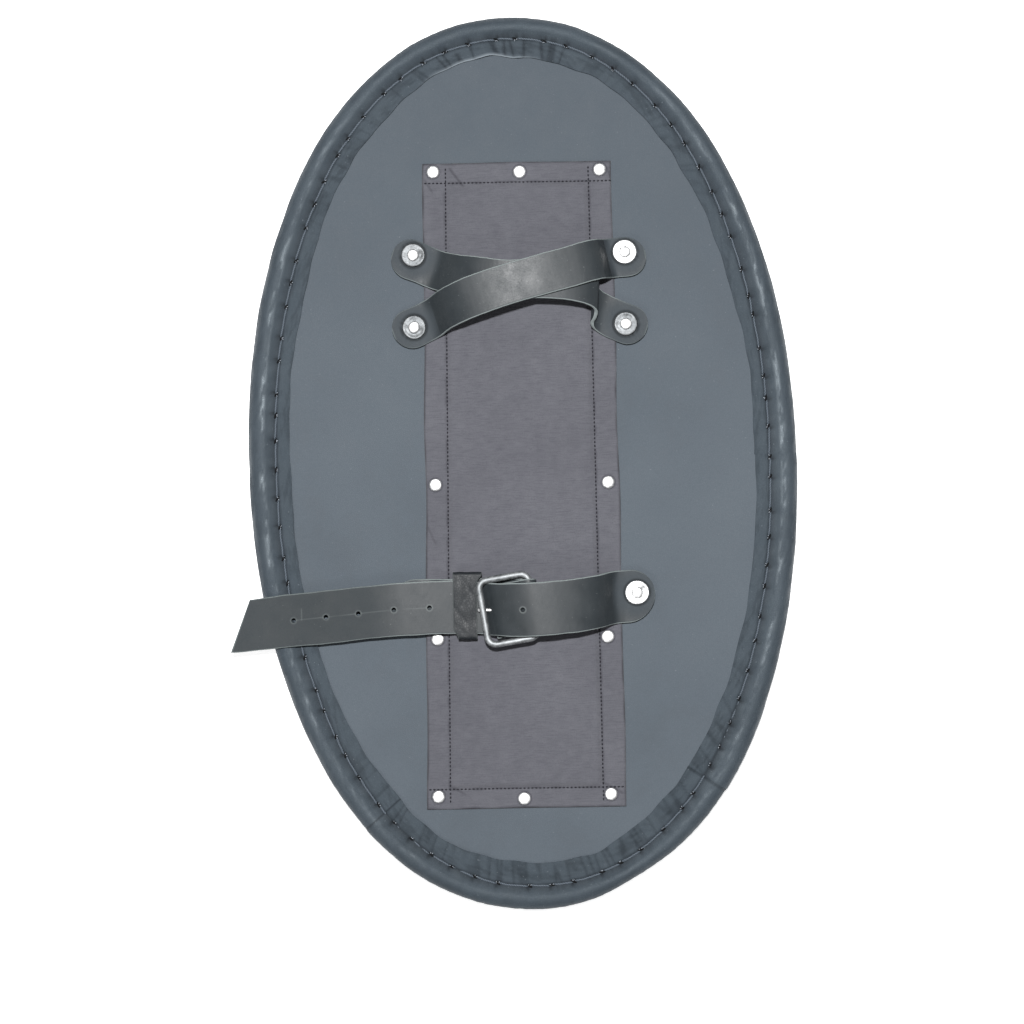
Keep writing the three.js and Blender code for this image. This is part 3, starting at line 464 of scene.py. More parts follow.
def thread_ends():
    """Two short bent threads at every hole, which rise from it and lean away from each other."""
    rng, t, shapes = np.random.default_rng(31), np.linspace(0, 1, 7), []
    for lean in (-1, 1):
        reach = rng.uniform(0.8, 1.6, STITCH_COUNT)[:, None]
        slant = lean * rng.uniform(0.2, 1.3, STITCH_COUNT)[:, None]
        way = hole_inward * np.cos(slant) + hole_along * np.sin(slant)
        flat = hole_centre[:, None, :] + way[:, None, :] * (reach * t + 1.0)[:, :, None]
        paths = at_height(flat, BOARD_THICKNESS + LEATHER_FACE - 0.8 + 1.5 * np.sin(t * 2.3))
        shapes += [tube_grid(path, 0.42 * (1 - 0.45 * t ** 3), 6) for path in paths]
    return np.stack(shapes)


rim_threads, rim_holes = [], []
for label, side in (("back", 1), ("front", -1)):
    line = seam_path(side)
    rim_threads.append(surface(f"rim_thread_{label}", tube_grid(line, THREAD / 2, THREAD_SIDES, True),
                               tube_uv(line, THREAD, THREAD_SIDES, True), closed_rows=True))
for label, side in (("back", 1), ("front", -1)):
    rim_holes.append(scattered(f"rim_awl_holes_{label}", hole_domes(side)))
# The thread ends are drawn in a much lighter copy of the thread's colour, a painted highlight.
rim_ends = scattered("rim_thread_ends", thread_ends())

# %% [markdown]
# ## The arm pad
#
# A long panel of thick cloth with a sewn hem all round, held down by ten small rivets. It is one closed sheet worked
# out on a grid: flat underneath, thin at the hems, raised in the middle, sunk along the seam and at the rivets, with
# slack folds near its corners. Pad, straps and buckle sit 1.3 degrees askew on the oval, so they are worked out
# square to their own axes, u and v, and turned once, before they become meshes.

# %% Sizes of the pad
FITTINGS_LEAN = math.radians(-1.3)
PAD_LENGTH, PAD_TOP, PAD_BOTTOM = 609.0, 178.0, 188.0
PAD_U, PAD_V = -1.3, -20.7
PAD_THICKNESS, HEM_THICKNESS = 4.0, 1.6
HEM_SIDES, HEM_ENDS = 21.5, 19.0
pad_top_v, pad_bottom_v = PAD_V + PAD_LENGTH / 2, PAD_V - PAD_LENGTH / 2
pad_base = BOARD_THICKNESS + GAP
# rows of side rivets: distance down the pad, inset from its left edge and from its right edge
PAD_RIVET_ROWS = [(8, 10, 11), (303, 10, 10), (448.5, 11, 14), (PAD_LENGTH - 12, 10.5, 14.5)]
PAD_CREASES = [(-63.8, 278.0, -52.7, 262.8, 0.55), (84, 276, 90, 262, 0.45), (-88, 268, -82, 258, 0.4),
               (-72, -304, -60, -311, 0.4), (72, -303, 88, -312, 0.45), (88, 70, 92, 48, 0.3),
               (-90, -60, -84, -74, 0.3)]


def on_board(points):
    return turned_by(points, FITTINGS_LEAN)


def pad_half(v):
    return (PAD_TOP + (PAD_BOTTOM - PAD_TOP) * (pad_top_v - v) / PAD_LENGTH) / 2


pad_rivets = np.array([(PAD_U + sign * (pad_half(pad_top_v - down) - inset), pad_top_v - down)
                       for down, left, right in PAD_RIVET_ROWS for sign, inset in ((-1, left), (1, right))]
                      + [(PAD_U + 2.5, pad_top_v - 9), (PAD_U - 2.5, pad_bottom_v + 9)])


def pad_crease(u, v):
    """0 to 1 along short straight folds: a narrow hump across each one that fades towards its ends."""
    total = 0 * u
    for u0, v0, u1, v1, depth in PAD_CREASES:
        length = math.hypot(u1 - u0, v1 - v0)
        along = ((u - u0) * (u1 - u0) + (v - v0) * (v1 - v0)) / length
        beside = ((u - u0) * (v1 - v0) - (v - v0) * (u1 - u0)) / length
        total = total + depth * hump(beside, 0.9) * window(along, -4, 1, length - 1, length + 4)
    return total


def pad_margins(u, v):
    """Distance to the pad's nearest edge, and past its hem line."""
    from_side, from_end = pad_half(v) - np.abs(u - PAD_U), np.minimum(pad_top_v - v, v - pad_bottom_v)
    return np.minimum(from_side, from_end), np.minimum(from_side - HEM_SIDES, from_end - HEM_ENDS)


def pad_height(u, v):
    """Thickness of the pad: hem, raised panel, sunk seam, dimples at the rivets and slack folds."""
    edge, inner = pad_margins(u, v)
    panel = soft_step(inner, 0.2, 5.5)
    height = HEM_THICKNESS + (PAD_THICKNESS - 0.4 - HEM_THICKNESS) * panel - 0.55 * hump(inner + 0.3, 0.9)
    height += 0.28 * uneven(u, v, 90, 41) * (0.4 + panel) + 0.12 * uneven(u, v, 22, 42)
    for cu, cv in pad_rivets:
        gap = np.hypot(u - cu, v - cv)
        height += 0.16 * hump(gap - 11, 4) * (1 + np.sin(5 * np.arctan2(v - cv, u - cu))) - 0.35 * hump(gap, 7)
    return np.maximum(height + 0.2 * hump(edge - 2, 2) - 1.1 * pad_crease(u, v), 0.7)


# %% The pad's grid
def pad_points(columns=166, rows=500, under=26):
    """Rows down the pad, columns across its top face and back under it; the outline wavers a little."""
    start = np.array([0, 0.25, 0.8])
    v = pad_top_v - np.concatenate([start, np.linspace(1.6, PAD_LENGTH - 1.6, rows), PAD_LENGTH - start[::-1]])
    s = np.concatenate([np.linspace(-1, 1, columns), np.linspace(1, -1, under)])
    straight = np.broadcast_to(v[:, None], (len(v), len(s)))
    half = pad_half(v)[:, None] + 0.7 * uneven(v, 0, 110, 43)[:, None] * np.sign(s)[None, :]
    u = PAD_U + s[None, :] * half
    bow = 0.8 * uneven(u, 0, 150, 44) * soft_step(np.abs(straight - PAD_V), 150, PAD_LENGTH / 2)
    rim = np.minimum(half * (1 - np.abs(s)), np.minimum(pad_top_v - v, v - pad_bottom_v)[:, None])
    z = np.where(np.arange(len(s)) < columns, pad_height(u, straight) - 0.8 * (1 - quarter(rim / 1.2)), 0)
    grid = np.stack([u, straight + bow, pad_base + z], axis=2)
    return grid, pad_margins(u, straight)[1], rim, pad_crease(u, straight)


pad_grid, pad_inner, pad_rim, pad_folds = pad_points()
grid_u, grid_v = pad_grid[..., 0], pad_grid[..., 1]
pad_uv = uv_grid(np.append(grid_v[:, 0], grid_v[-1, 0]), lengths(pad_grid[200], 1))
pad_gap = np.min([np.hypot(grid_u - u, grid_v - v) for u, v in pad_rivets], axis=0)
pad = surface("arm_pad_cloth", on_board(pad_grid), pad_uv, masks={
    # Painted shade in the sunk seam, broken into dashes.
    "seam": hump(pad_inner + 0.3, 1.1) * unit(0.6 + 0.6 * uneven(grid_v, grid_u, 16, 47)),
    # Painted shade along the pad's edges and in a ring round each rivet.
    "outline": unit(hump(pad_rim, 1.3) * (0.75 + 0.5 * uneven(grid_v, grid_u, 35, 46))
                    + 0.6 * hump(pad_gap - 6.6, 0.6)),
    # Painted shade in the slack folds.
    "folds": unit(1.3 * pad_folds),
})

# %% [markdown]
# ## Seams of the pad
#
# The hems are held by a line of machine stitches. Each stitch is a short capsule with pointed ends that lies in the
# sunk seam. There are hundreds, so each has only a few dozen faces.

# %% Machine stitches
STITCH_PITCH, STITCH_LONG, STITCH_RADIUS = 3.7, 2.6, 0.75


def capsules(starts, ends):
    """Short threads from start to end: circles along a line whose radius swells as the root of a half sine."""
    t = np.linspace(0.02, 0.98, 6)
    path = at_height(starts[:, None, :] + (ends - starts)[:, None, :] * t[None, :, None], 0.25 * np.sin(np.pi * t))
    way = direction(ends - starts)
    side = np.stack([-way[:, 1], way[:, 0], 0 * way[:, 0]], axis=1)
    cos, sin = [wave[None, None, :, None] for wave in circle(6)]
    thick = STITCH_RADIUS * np.sqrt(np.sin(np.pi * t))
    return path[:, :, None, :] + thick[None, :, None, None] * (cos * side[:, None, None, :] + sin * UP)


def hem_stitches():
    """Stitches along the four hem lines, from end to end of the pad as the hems were sewn."""
    shapes = []
    for side in (-1, 1):
        v = np.arange(pad_bottom_v + 6, pad_top_v - 6, STITCH_PITCH)
        shapes.append(capsules(*[np.stack([PAD_U + side * (pad_half(w) - HEM_SIDES - 0.3), w], 1)
                                 for w in (v, v + STITCH_LONG)]))
    for v in (pad_top_v - HEM_ENDS + 0.3, pad_bottom_v + HEM_ENDS - 0.3):
        reach = pad_half(v) - 1.5
        u = np.arange(PAD_U - reach, PAD_U + reach, STITCH_PITCH)
        shapes.append(capsules(*[np.stack([w, np.full(len(u), v)], 1) for w in (u, u + STITCH_LONG)]))
    shapes = np.concatenate(shapes)
    middle = shapes.mean(axis=(1, 2))
    shapes[..., 2] += (pad_base + pad_height(middle[:, 0], middle[:, 1]))[:, None, None] + 0.05
    return shapes


pad_stitches = scattered("arm_pad_stitches", on_board(hem_stitches()))

# %% [markdown]
# ## Rivets and washers
#
# The pad rivets are small smooth steel domes. The larger heads of the strap rivets were hammered down over round
# washers, which left flats and an uneven outline. Both are turned shapes, a profile of radius and height carried
# round the axis, and the hammered ones are dented by a function of the place on the disc.

# %% Turned pieces
def turned(name, profile, sides, place, dent=None, closed=False):
    """A profile of [radius, height] carried round +Z; dent(x, y, z) moves its points."""
    profile = np.array(profile, float)
    cos, sin = circle(sides)
    x, y = profile[:, :1] * cos, profile[:, :1] * sin
    z = np.broadcast_to(profile[:, 1:], x.shape)
    if dent:
        x, y, z = dent(x, y, z)
    grid = np.stack([x + place[0], y + place[1], z], axis=2)
    reach, width = (0.8 * np.arange(len(profile) + 1), 60) if closed else (np.append(lengths(profile), 0), 30)
    return surface(name, on_board(grid), uv_grid(reach, np.linspace(0, width, sides + 1)), closed)


def rivet(name, foot, neck, radius, height, level, sides, place, dent=None):
    """Low foot on the front, shank, and a flattened dome on the back: radius * cos a, height * sqrt(sin a)."""
    a = np.linspace(0, np.pi / 2 - 0.02, 12)
    profile = [(r, -GAP - depth) for r, depth in foot] + [(r, level - drop) for r, drop in neck]
    profile += zip(radius * np.cos(a), level + height * np.sqrt(np.sin(a)))
    return turned(name, profile, sides, place, dent)


hem_top = pad_base + HEM_THICKNESS
PAD_FOOT = [(0.2, 1.6), (3.2, 1.6), (4.6, 1.3), (5.0, 0.8), (4.9, 0), (1.8, 0)]
PAD_NECK = [(1.8, 0.35), (5.5, 0.35), (5.9, 0.2)]
small_rivets = [rivet(f"pad_rivet_cap_{number:02d}", PAD_FOOT, PAD_NECK, 6.0, 2.6, hem_top + GAP - 0.1, 36, place)
                for number, place in enumerate(pad_rivets, start=1)]

# %% Hammered rivets over washers
LEATHER = 3.5
tab_level = hem_top + GAP + LEATHER / 2
washer_base = tab_level + LEATHER / 2 + GAP
WASHER_RADIUS, WASHER_THICKNESS = 11.25, 1.6
HEAD_RADIUS, HEAD_HEIGHT, SHANK_RADIUS = 5.5, 3.2, 2.5
RIVET_HOLE = SHANK_RADIUS + GAP
STRAP_FOOT = [(0.2, 2.0), (4.5, 2.0), (6.4, 1.7), (7.0, 1.0), (6.9, 0), (SHANK_RADIUS, 0)]
STRAP_NECK = [(SHANK_RADIUS, 0.5), (4.9, 0.5), (HEAD_RADIUS, 0)]
head_base = washer_base + WASHER_THICKNESS + GAP
STRAP_RIVETS = {"upper_left": (-100.3, 197.4), "upper_right": (99.0, 197.4), "lower_left": (-100.3, 129.6),
                "lower_right": (99.0, 129.6), "forearm": (105.5, -123.5), "buckle": (-109.0, -132.4)}


def hammered(seed, rim_shift, blows, depth):
    """Uneven outline and flats: each blow lowers the points round a spot near the rim."""
    blows = np.random.default_rng(seed).uniform(0, 2 * np.pi, blows)

    def dent(x, y, z):
        rim, turn = np.hypot(x, y).max(), np.arctan2(y, x)
        swell = 1 + rim_shift * (np.sin(2 * turn + blows[0]) + 0.6 * np.sin(3 * turn + blows[1]))
        spots = [np.hypot(x - 0.62 * rim * np.cos(blow), y - 0.62 * rim * np.sin(blow)) for blow in blows]
        drop = sum(depth * hump(spot, 0.28 * rim) for spot in spots)
        return x * swell, y * swell, z - drop * (z > z.min() + 0.5)

    return dent


rim, top = WASHER_RADIUS, WASHER_THICKNESS
washer = [(RIVET_HOLE, 0), (rim - 0.7, 0), (rim - 0.1, 0.35), (rim, 0.8), (rim - 0.3, 1.3), (rim - 1.1, top)]
washer += [(r, top) for r in np.linspace(rim - 2.2, RIVET_HOLE + 0.3, 12)]
washer += [(RIVET_HOLE, top - 0.3), (RIVET_HOLE, 0.2)]
strap_rivets, washers = [], []
for number, (label, place) in enumerate(STRAP_RIVETS.items()):
    dents = hammered(60 + number, 0.006, 8, 0.55 if label in ("lower_left", "forearm") else 0.3)
    washers.append(turned(f"hammered_washer_{label}", np.add(washer, (0, washer_base)), 64, place, dents, closed=True))
    strap_rivets.append(rivet(f"hammered_rivet_{label}", STRAP_FOOT, STRAP_NECK, HEAD_RADIUS, HEAD_HEIGHT - 0.5,
                              head_base + 0.4, 48, place, hammered(80 + number, 0.02, 2, 0.3)))

# %% [markdown]
# ## Straps
#
# A strap is a flat band of 3.5 mm leather that bends out of the board's plane. A curve object with a bevel would
# twist where the band climbs steeply, so the band is carried along a spline by hand: the width direction is given at
# each station, the thickness direction is square to it and to the path, and the section is a rectangle with rounded
# edges. A mask marks the cut edge, where the leather is paler.

# %% A smooth path through chosen places
NEAR_ENDS = np.array([0.0, 0.25, 0.8, 1.7, 3.0, 4.6, 6.5, 8.8, 11.5, 14.5, 18.0])  # where rounded ends need stations


def blend(a, b, share):
    return a + (b - a) * share


def between(a, b, t, start, end):
    return (a * (end - t) + b * (t - start)) / (end - start)


def spline(places, count):
    """Centripetal Catmull-Rom curve: blends of blends of the four nearest places, read off by distance."""
    p = np.array(places, float)
    p = np.concatenate([[2 * p[0] - p[1]], p, [2 * p[-1] - p[-2]]])
    dense = []
    for i in range(len(p) - 3):
        four = p[i:i + 4]
        k = np.append(0, np.cumsum(np.linalg.norm(np.diff(four, axis=0), axis=1) ** 0.5))
        t = np.linspace(k[1], k[2], 60, endpoint=False)[:, None]
        ab, bc, cd = [between(four[j], four[j + 1], t, k[j], k[j + 1]) for j in range(3)]
        dense.append(between(between(ab, bc, t, k[0], k[2]), between(bc, cd, t, k[1], k[3]), t, k[1], k[2]))
    dense = np.concatenate(dense + [p[-2:-1]])
    along = lengths(dense)
    even = np.linspace(0, 1, count) * along[-1]
    inner = even[(even > NEAR_ENDS[-1] + 1) & (even < along[-1] - NEAR_ENDS[-1] - 1)]
    at = np.concatenate([NEAR_ENDS, inner, along[-1] - NEAR_ENDS[::-1]])
    return np.stack([np.interp(at, along, axis) for axis in dense.T], axis=1), at


def from_rivet(label, rise, offsets):
    """Places of a strap's path: offsets from a rivet, and heights as shares of a rise above the tabs."""
    u, v = STRAP_RIVETS[label]
    return [(u + du, v + dv, tab_level + rise * share) for du, dv, share in offsets]


# %% A band of leather along a path
def strap_section(half, thick, corner, across, turns):
    """Rounded rectangle, counterclockwise: [side, up] pairs, and a mask of its cut edges."""
    turn = np.linspace(np.pi / 2, -np.pi / 2, 2 * turns + 1)[1:-1]
    edge = np.stack([half - corner + corner * np.cos(turn),
                     np.sign(np.sin(turn)) * (thick / 2 - corner) + corner * np.sin(turn)], 1)
    face = np.stack([np.linspace(-1, 1, across) * (half - corner), np.full(across, thick / 2)], 1)
    shape = np.concatenate([face, edge])
    return np.concatenate([shape, -shape]), np.tile(np.repeat([0.0, 1.0], [across, len(edge)]), 2)


def strap(name, places, half_across, seed, stations, across, round_end=True, marks=None):
    """A band along a spline, rounded at its start. half_across(path, share) gives half the width as a level vector."""
    path, at = spline(places, stations)
    along, side = direction(np.gradient(path, axis=0)), half_across(path, at / at[-1])
    half = np.linalg.norm(side, axis=1)[:, None]
    up = direction(np.cross(along, side))
    up = up * np.sign(up[0, 2])
    at = at[:, None]
    ends = np.minimum(at, at[-1] - at)
    shape, worn = strap_section(half.mean(), LEATHER, 1.1, across, 5)
    s = shape[:, 0] * (half / half.mean() * np.maximum(quarter((ends if round_end else at) / half), 0.02))
    edge = np.sign(s)
    waver = 0.35 * uneven(at, 30 * edge, 70, seed) + 0.12 * uneven(at, 9 * edge, 14, seed + 1)
    s = s + waver * edge * unit(np.abs(s) / half) ** 3
    n = shape[:, 1] * (0.35 + 0.65 * quarter(ends / 1.1))
    n = n + 0.07 * uneven(at, 0.4 * s, 34, seed + 2) + 0.012 * uneven(at * 1.6, s * 0.7, 9, seed + 3)
    flow = np.sign(up[:, 2].mean())
    points = path[:, None, :] + (side / half)[:, None, :] * s[:, :, None] + up[:, None, :] * n[:, :, None] * flow
    x, y, z = np.moveaxis(points, 2, 0)
    gap, low = np.min([np.hypot(x - u, y - v) for u, v in STRAP_RIVETS.values()], axis=0), z < tab_level + 6
    bend = np.linalg.norm(np.gradient(along, axis=0), axis=1) / np.maximum(np.gradient(at[:, 0]), 0.2)
    bend = np.convolve(np.pad(bend, 6, mode="edge"), np.ones(13) / 13, "valid")[:, None]
    uv = uv_grid(np.append(at, at[-1]), lengths(shape, 1))
    return surface(name, on_board(points), uv, masks={
        "cut_edge": np.maximum(worn, ends < 1.2),
        "bend": unit(bend * 18),
        "marks": unit(marks(x, y) * (n > 0)) if marks else 0.0,
        "tab": (1 - soft_step(gap, 14, 32)) * low,
        "tail": 0.7 * soft_step(-x, 110, 150),
        # Painted shade: a dark ring round each washer's edge, where it stands on the strap.
        "washer_edge_shade": hump(gap - WASHER_RADIUS - 0.9, 1.1) * low,
    }), path


def punched(piece, holes):
    """Cuts round holes [u, v, radius, low, high] with a Boolean modifier and keeps its result, not the modifier."""
    cos, sin = circle(20)
    shapes = [[np.stack([u + radius * cos, v + radius * sin, np.full(20, z)], 1) for z in (low, high)]
              for u, v, radius, low, high in holes]
    cutter = scattered(piece.name + "_punch", on_board(np.array(shapes)))
    cut = piece.modifiers.new("punch", "BOOLEAN")
    cut.operation, cut.solver, cut.object = "DIFFERENCE", "EXACT", cutter
    bpy.context.view_layer.update()
    result = bpy.data.meshes.new_from_object(piece.evaluated_get(bpy.context.evaluated_depsgraph_get()))
    piece.modifiers.clear()
    old, piece.data = piece.data, result
    result.name = piece.name
    bpy.data.meshes.remove(old)
    bpy.data.objects.remove(cutter)
    print(f"{piece.name}: {len(shapes)} holes cut, {len(result.polygons)} faces")


def rivet_hole(label):
    return (*STRAP_RIVETS[label], RIVET_HOLE, BOARD_THICKNESS, BOARD_THICKNESS + 12)


# %% Hand straps
HAND_HALF, HAND_ARCH = 19.0, 34.0
UNDER_ARCH = HAND_ARCH - LEATHER - GAP


def hand_across(shares, degrees):
    """Half the width as a level vector, square to the strap's direction, given at shares of its length."""
    def across(path, share):
        turn = np.radians(np.interp(share, shares, degrees))
        return HAND_HALF * np.stack([-np.sin(turn), np.cos(turn), 0 * turn], axis=1)

    return across


def scuffs(u, v):
    """Pale rubbed fibres near the top of the arch."""
    return hump(np.hypot(u + 20, v - 188), 9) * unit(uneven(u, v, 5, 104) + 0.2) * 0.5


over_places = from_rivet("lower_left", HAND_ARCH, [
    (-20, -6.5, 0), (0, -0.5, 0), (13.5, 6, 0.01), (20, 9.5, 0.12), (26, 13.2, 0.34), (32, 16.5, 0.57),
    (41, 20.5, 0.77), (58, 27, 0.91), (81, 34.3, 0.985), (105, 41, 1)])
over_places += from_rivet("upper_right", HAND_ARCH, [
    (-72, -20.5, 0.97), (-53, -15.5, 0.915), (-39.5, -11.5, 0.84), (-30, -9.3, 0.74), (-24.5, -8.2, 0.6),
    (-20.5, -7.4, 0.35), (-17, -6.8, 0.12), (-12, -6, 0), (0, -4.8, 0), (20, -2, 0)])
over_strap, _ = strap("hand_strap_over_leather", over_places, hand_across([0, 1], [19, 11]), 101, 420, 31, marks=scuffs)

under_places = from_rivet("upper_left", UNDER_ARCH, [
    (-20, 2, 0), (0, -4.5, 0), (14, -10.5, 0.005), (22, -14, 0.07), (29, -16.5, 0.25), (36, -18.6, 0.46),
    (45, -20.6, 0.66), (61, -23.2, 0.86), (84, -26.8, 0.985), (105, -26.4, 0.99)])
under_places += from_rivet("lower_right", UNDER_ARCH, [
    (-83, 42.6, 0.975), (-55, 41, 0.89), (-42, 38.2, 0.81), (-32, 34.2, 0.69), (-27.5, 29.6, 0.56), (-28, 23.5, 0.4),
    (-30, 18.6, 0.25), (-27.5, 14.5, 0.12), (-22, 10.7, 0.035), (-13, 6, 0), (0, 0.4, 0), (20, -6, 0)])
under_turns = hand_across([0, 0.3, 0.55, 0.72, 0.8, 0.86, 1], [-18, -12, 0, -1, -7, -16, -19])
under_strap, _ = strap("hand_strap_under_leather", under_places, under_turns, 111, 420, 31)
punched(over_strap, [rivet_hole("lower_left"), rivet_hole("upper_right")])
punched(under_strap, [rivet_hole("upper_left"), rivet_hole("lower_right")])

# %% [markdown]
# ## Forearm strap, buckle strap and keeper
#
# The forearm strap leaves its rivet, climbs over the buckle's right bar, drops through the frame and under the left
# bar, runs through the keeper and lies across the board as a tail with seven holes and a slanted tip. The buckle
# strap comes up from its own rivet, folds round the right bar and returns under the tail. Their cross lines lean
# with the buckle, which sits 9 degrees askew.

# %% Where the buckle sits
BUCKLE_LENGTH, BUCKLE_WIDTH, BUCKLE_WIRE = 67.0, 53.5, 6.2
BUCKLE_TURN = math.radians(9.2)
BUCKLE_U, BUCKLE_V = -16.0, -136.8
buckle_level = BOARD_THICKNESS + 24
TONGUE_WIRE, TONGUE_V, TONGUE_BEYOND_BAR = 3.5, -137.4, 5.4
fold_radius = BUCKLE_WIRE / 2 + GAP + LEATHER / 2
eye_radius = BUCKLE_WIRE / 2 + GAP + TONGUE_WIRE / 2
tongue_level = buckle_level - eye_radius
crest_over_bar = buckle_level + fold_radius + LEATHER + GAP
KEEPER_WIDTH, KEEPER_SPAN, KEEPER_LEATHER = 22.5, 63.5, 2.2
KEEPER_U, KEEPER_V, KEEPER_CORNER = -56.6, -133.4, 3.4
keeper_right, keeper_left = KEEPER_U + KEEPER_WIDTH / 2, KEEPER_U - KEEPER_WIDTH / 2
keeper_base = pad_base + PAD_THICKNESS + GAP
lower_in_keeper = keeper_base + KEEPER_LEATHER + GAP + LEATHER / 2
upper_in_keeper = lower_in_keeper + LEATHER + GAP
keeper_top = upper_in_keeper + LEATHER / 2 + GAP + KEEPER_LEATHER
FOREARM_HALF = 25.0
TAIL_TIP_U, TAIL_SLANT = -268.5, 9.4


def bar_u(side, v):
    """Middle line of a buckle bar where it crosses the height v of the strap."""
    reach = side * (BUCKLE_WIDTH - BUCKLE_WIRE) / 2
    bar_middle_v = BUCKLE_V + reach * math.sin(BUCKLE_TURN)
    return BUCKLE_U + reach * math.cos(BUCKLE_TURN) - (v - bar_middle_v) * math.tan(BUCKLE_TURN)


def leaning_across(path, slant):
    """Half the width as a level vector: it leans with the bars between them, and straightens away from the buckle."""
    lean = slant - np.tan(BUCKLE_TURN * np.interp(path[:, 0], [-66, -46, 32, 70], [0, 1, 1, 0])) * FOREARM_HALF
    return np.stack([lean, np.full(len(lean), FOREARM_HALF), 0 * lean], axis=1)


# %% Forearm strap
RIVET_U, RIVET_V = STRAP_RIVETS["buckle"]
bar_right, through_u = bar_u(1, -137), bar_u(-1, -136) + 8.6
over_rivet = head_base + HEAD_HEIGHT + GAP + LEATHER / 2
over_roll = BOARD_MIDDLE + ROLL_HEIGHT / 2 + GAP + LEATHER / 2
forearm_places = from_rivet("forearm", crest_over_bar - tab_level, [
    (17, -2, 0), (0, -2.8, 0), (-13, -3.7, 0.0035), (-21, -4.5, 0.07), (-27, -5.5, 0.26), (-33, -7, 0.5),
    (-40, -8.3, 0.69), (-53, -10, 0.85), (-70, -11.5, 0.95)])
forearm_places += [
    (bar_right + 13, -136.2, blend(tab_level, crest_over_bar, 0.993)),
    (bar_right, -137, crest_over_bar),
    (bar_right - 12, -137.3, crest_over_bar - 1.6),
    (bar_right - 24, -137.2, blend(tongue_level, crest_over_bar, 0.66)),
    (through_u + 5.6, -136.8, tongue_level + 5.4),
    (through_u, -136.6, tongue_level),
    (through_u - 4.6, -136.3, blend(upper_in_keeper, tongue_level, 0.32)),
    (through_u - 9.5, -135.9, upper_in_keeper + 0.3),
    (keeper_right, -135.2, upper_in_keeper),
    (keeper_left, -134.4, upper_in_keeper),
    (RIVET_U + 26, -134.3, blend(upper_in_keeper, over_rivet, 0.4)),
    (RIVET_U + 7, -135, over_rivet + 0.3),
    (RIVET_U - 9, -135.6, over_rivet + 0.3),
    (RIVET_U - 30, -137.2, blend(over_roll, over_rivet, 0.9)),
    (RIVET_U - 65, -140.5, blend(over_roll, over_rivet, 0.55)),
    (RIVET_U - 96, -143.3, blend(over_roll, over_rivet, 0.25)),
    (RIVET_U - 121, -145.6, over_roll + 0.3),
    (RIVET_U - 143, -147.7, over_roll + 0.1),
    (TAIL_TIP_U, -149.2, over_roll - 0.3),
]
HOLES_U, HOLE_RADIUS = [-218, -187.5, -157, -123.5, -90, -60, -2.5], 2.1
middle_u, middle_v = np.array(forearm_places[::-1])[:, :2].T


def forearm_across(path, share):
    slant_from = RIVET_U - 120
    return -leaning_across(path, TAIL_SLANT * unit((slant_from - path[:, 0]) / (slant_from - TAIL_TIP_U)))


def punch_marks(u, v):
    """A scribed line through the holes, broken here and there, pale rims round them and one cross scratch."""
    guide = hump(v - np.interp(u, middle_u, middle_v), 0.5) * unit(0.55 + 0.6 * uneven(u, 0, 22, 122)) * 0.5
    rims = sum(0.55 * hump(np.hypot(u - hole, v - np.interp(hole, middle_u, middle_v)) - HOLE_RADIUS - 0.6, 0.6)
               for hole in HOLES_U)
    scratch = 0.5 * hump(u + 210.4, 0.5) * window(v, -146, -143, -135, -132)
    return guide * window(u, -222, -214, -95, -80) + rims + scratch


forearm_strap, forearm_path = strap("forearm_strap_leather", forearm_places, forearm_across, 121, 620, 61,
                                    round_end=False, marks=punch_marks)
hole_places = [forearm_path[np.argmin(np.abs(forearm_path[:, 0] - u))] for u in HOLES_U]
punched(forearm_strap, [(u, y, HOLE_RADIUS, z - 9, z + 9) for u, (_, y, z) in zip(HOLES_U, hole_places)]
        + [rivet_hole("forearm")])

# %% Buckle strap
bar_centre, fold_v = bar_u(1, RIVET_V - 1), RIVET_V - 1
buckle_places = from_rivet("buckle", lower_in_keeper - tab_level, [(-18, 0, 0), (0, 0, 0), (12, 0, 0), (22, 0, 0.15),
                                                                   (31, 0, 0.75)])
buckle_places += [(keeper_left, RIVET_V, lower_in_keeper), (keeper_right, RIVET_V, lower_in_keeper)]
buckle_places += [(bar_centre - du, RIVET_V - dv, blend(lower_in_keeper, buckle_level - fold_radius, share))
                  for du, dv, share in ((41, 0, 0.04), (31, 0, 0.2), (19, 0.3, 0.58), (9, 0.7, 0.9))]
buckle_places += [(bar_centre + fold_radius * math.cos(a), fold_v, buckle_level + fold_radius * math.sin(a))
                  for a in np.radians([-90, -45, 0, 45, 90])]
buckle_places += [(bar_centre - du, fold_v - du * math.tan(BUCKLE_TURN),
                   blend(upper_in_keeper, buckle_level + fold_radius, share))
                  for du, share in ((8, 0.9), (15, 0.66), (22, 0.38), (29, 0.2), (38, 0.08))]
buckle_strap, _ = strap("buckle_strap_leather", buckle_places, lambda path, share: leaning_across(path, 0),
                        131, 360, 15, round_end=False)
punched(buckle_strap, [rivet_hole("buckle")])


# %% Keeper
KEEPER_CREASES = ((-9.0, 0.8, 0.55), (3.5, -0.7, 0.35), (13.0, 0.9, 0.45), (-16.0, 0.5, 0.35))  # place, slope, depth


def rounded_loop(width, height, corner, steps, straight):
    """Points and outward directions of a rounded rectangle, counterclockwise, with extra points on its sides."""
    t = np.linspace(0, 1, straight + 2)[1:-1, None]
    middles = np.array([(1, 1), (-1, 1), (-1, -1), (1, -1)]) * (width / 2 - corner, height / 2 - corner)
    points, out = [], []
    for k in range(4):
        turn = np.radians(90 * k + np.linspace(0, 90, steps + 1))
        radial = np.stack([np.cos(turn), np.sin(turn)], axis=1)
        arc, after = middles[k] + radial * corner, middles[(k + 1) % 4] + radial[-1] * corner
        points += [arc, arc[-1] + (after - arc[-1]) * t]
        out += [radial, np.broadcast_to(radial[-1], (straight, 2))]
    return np.concatenate(points), np.concatenate(out)


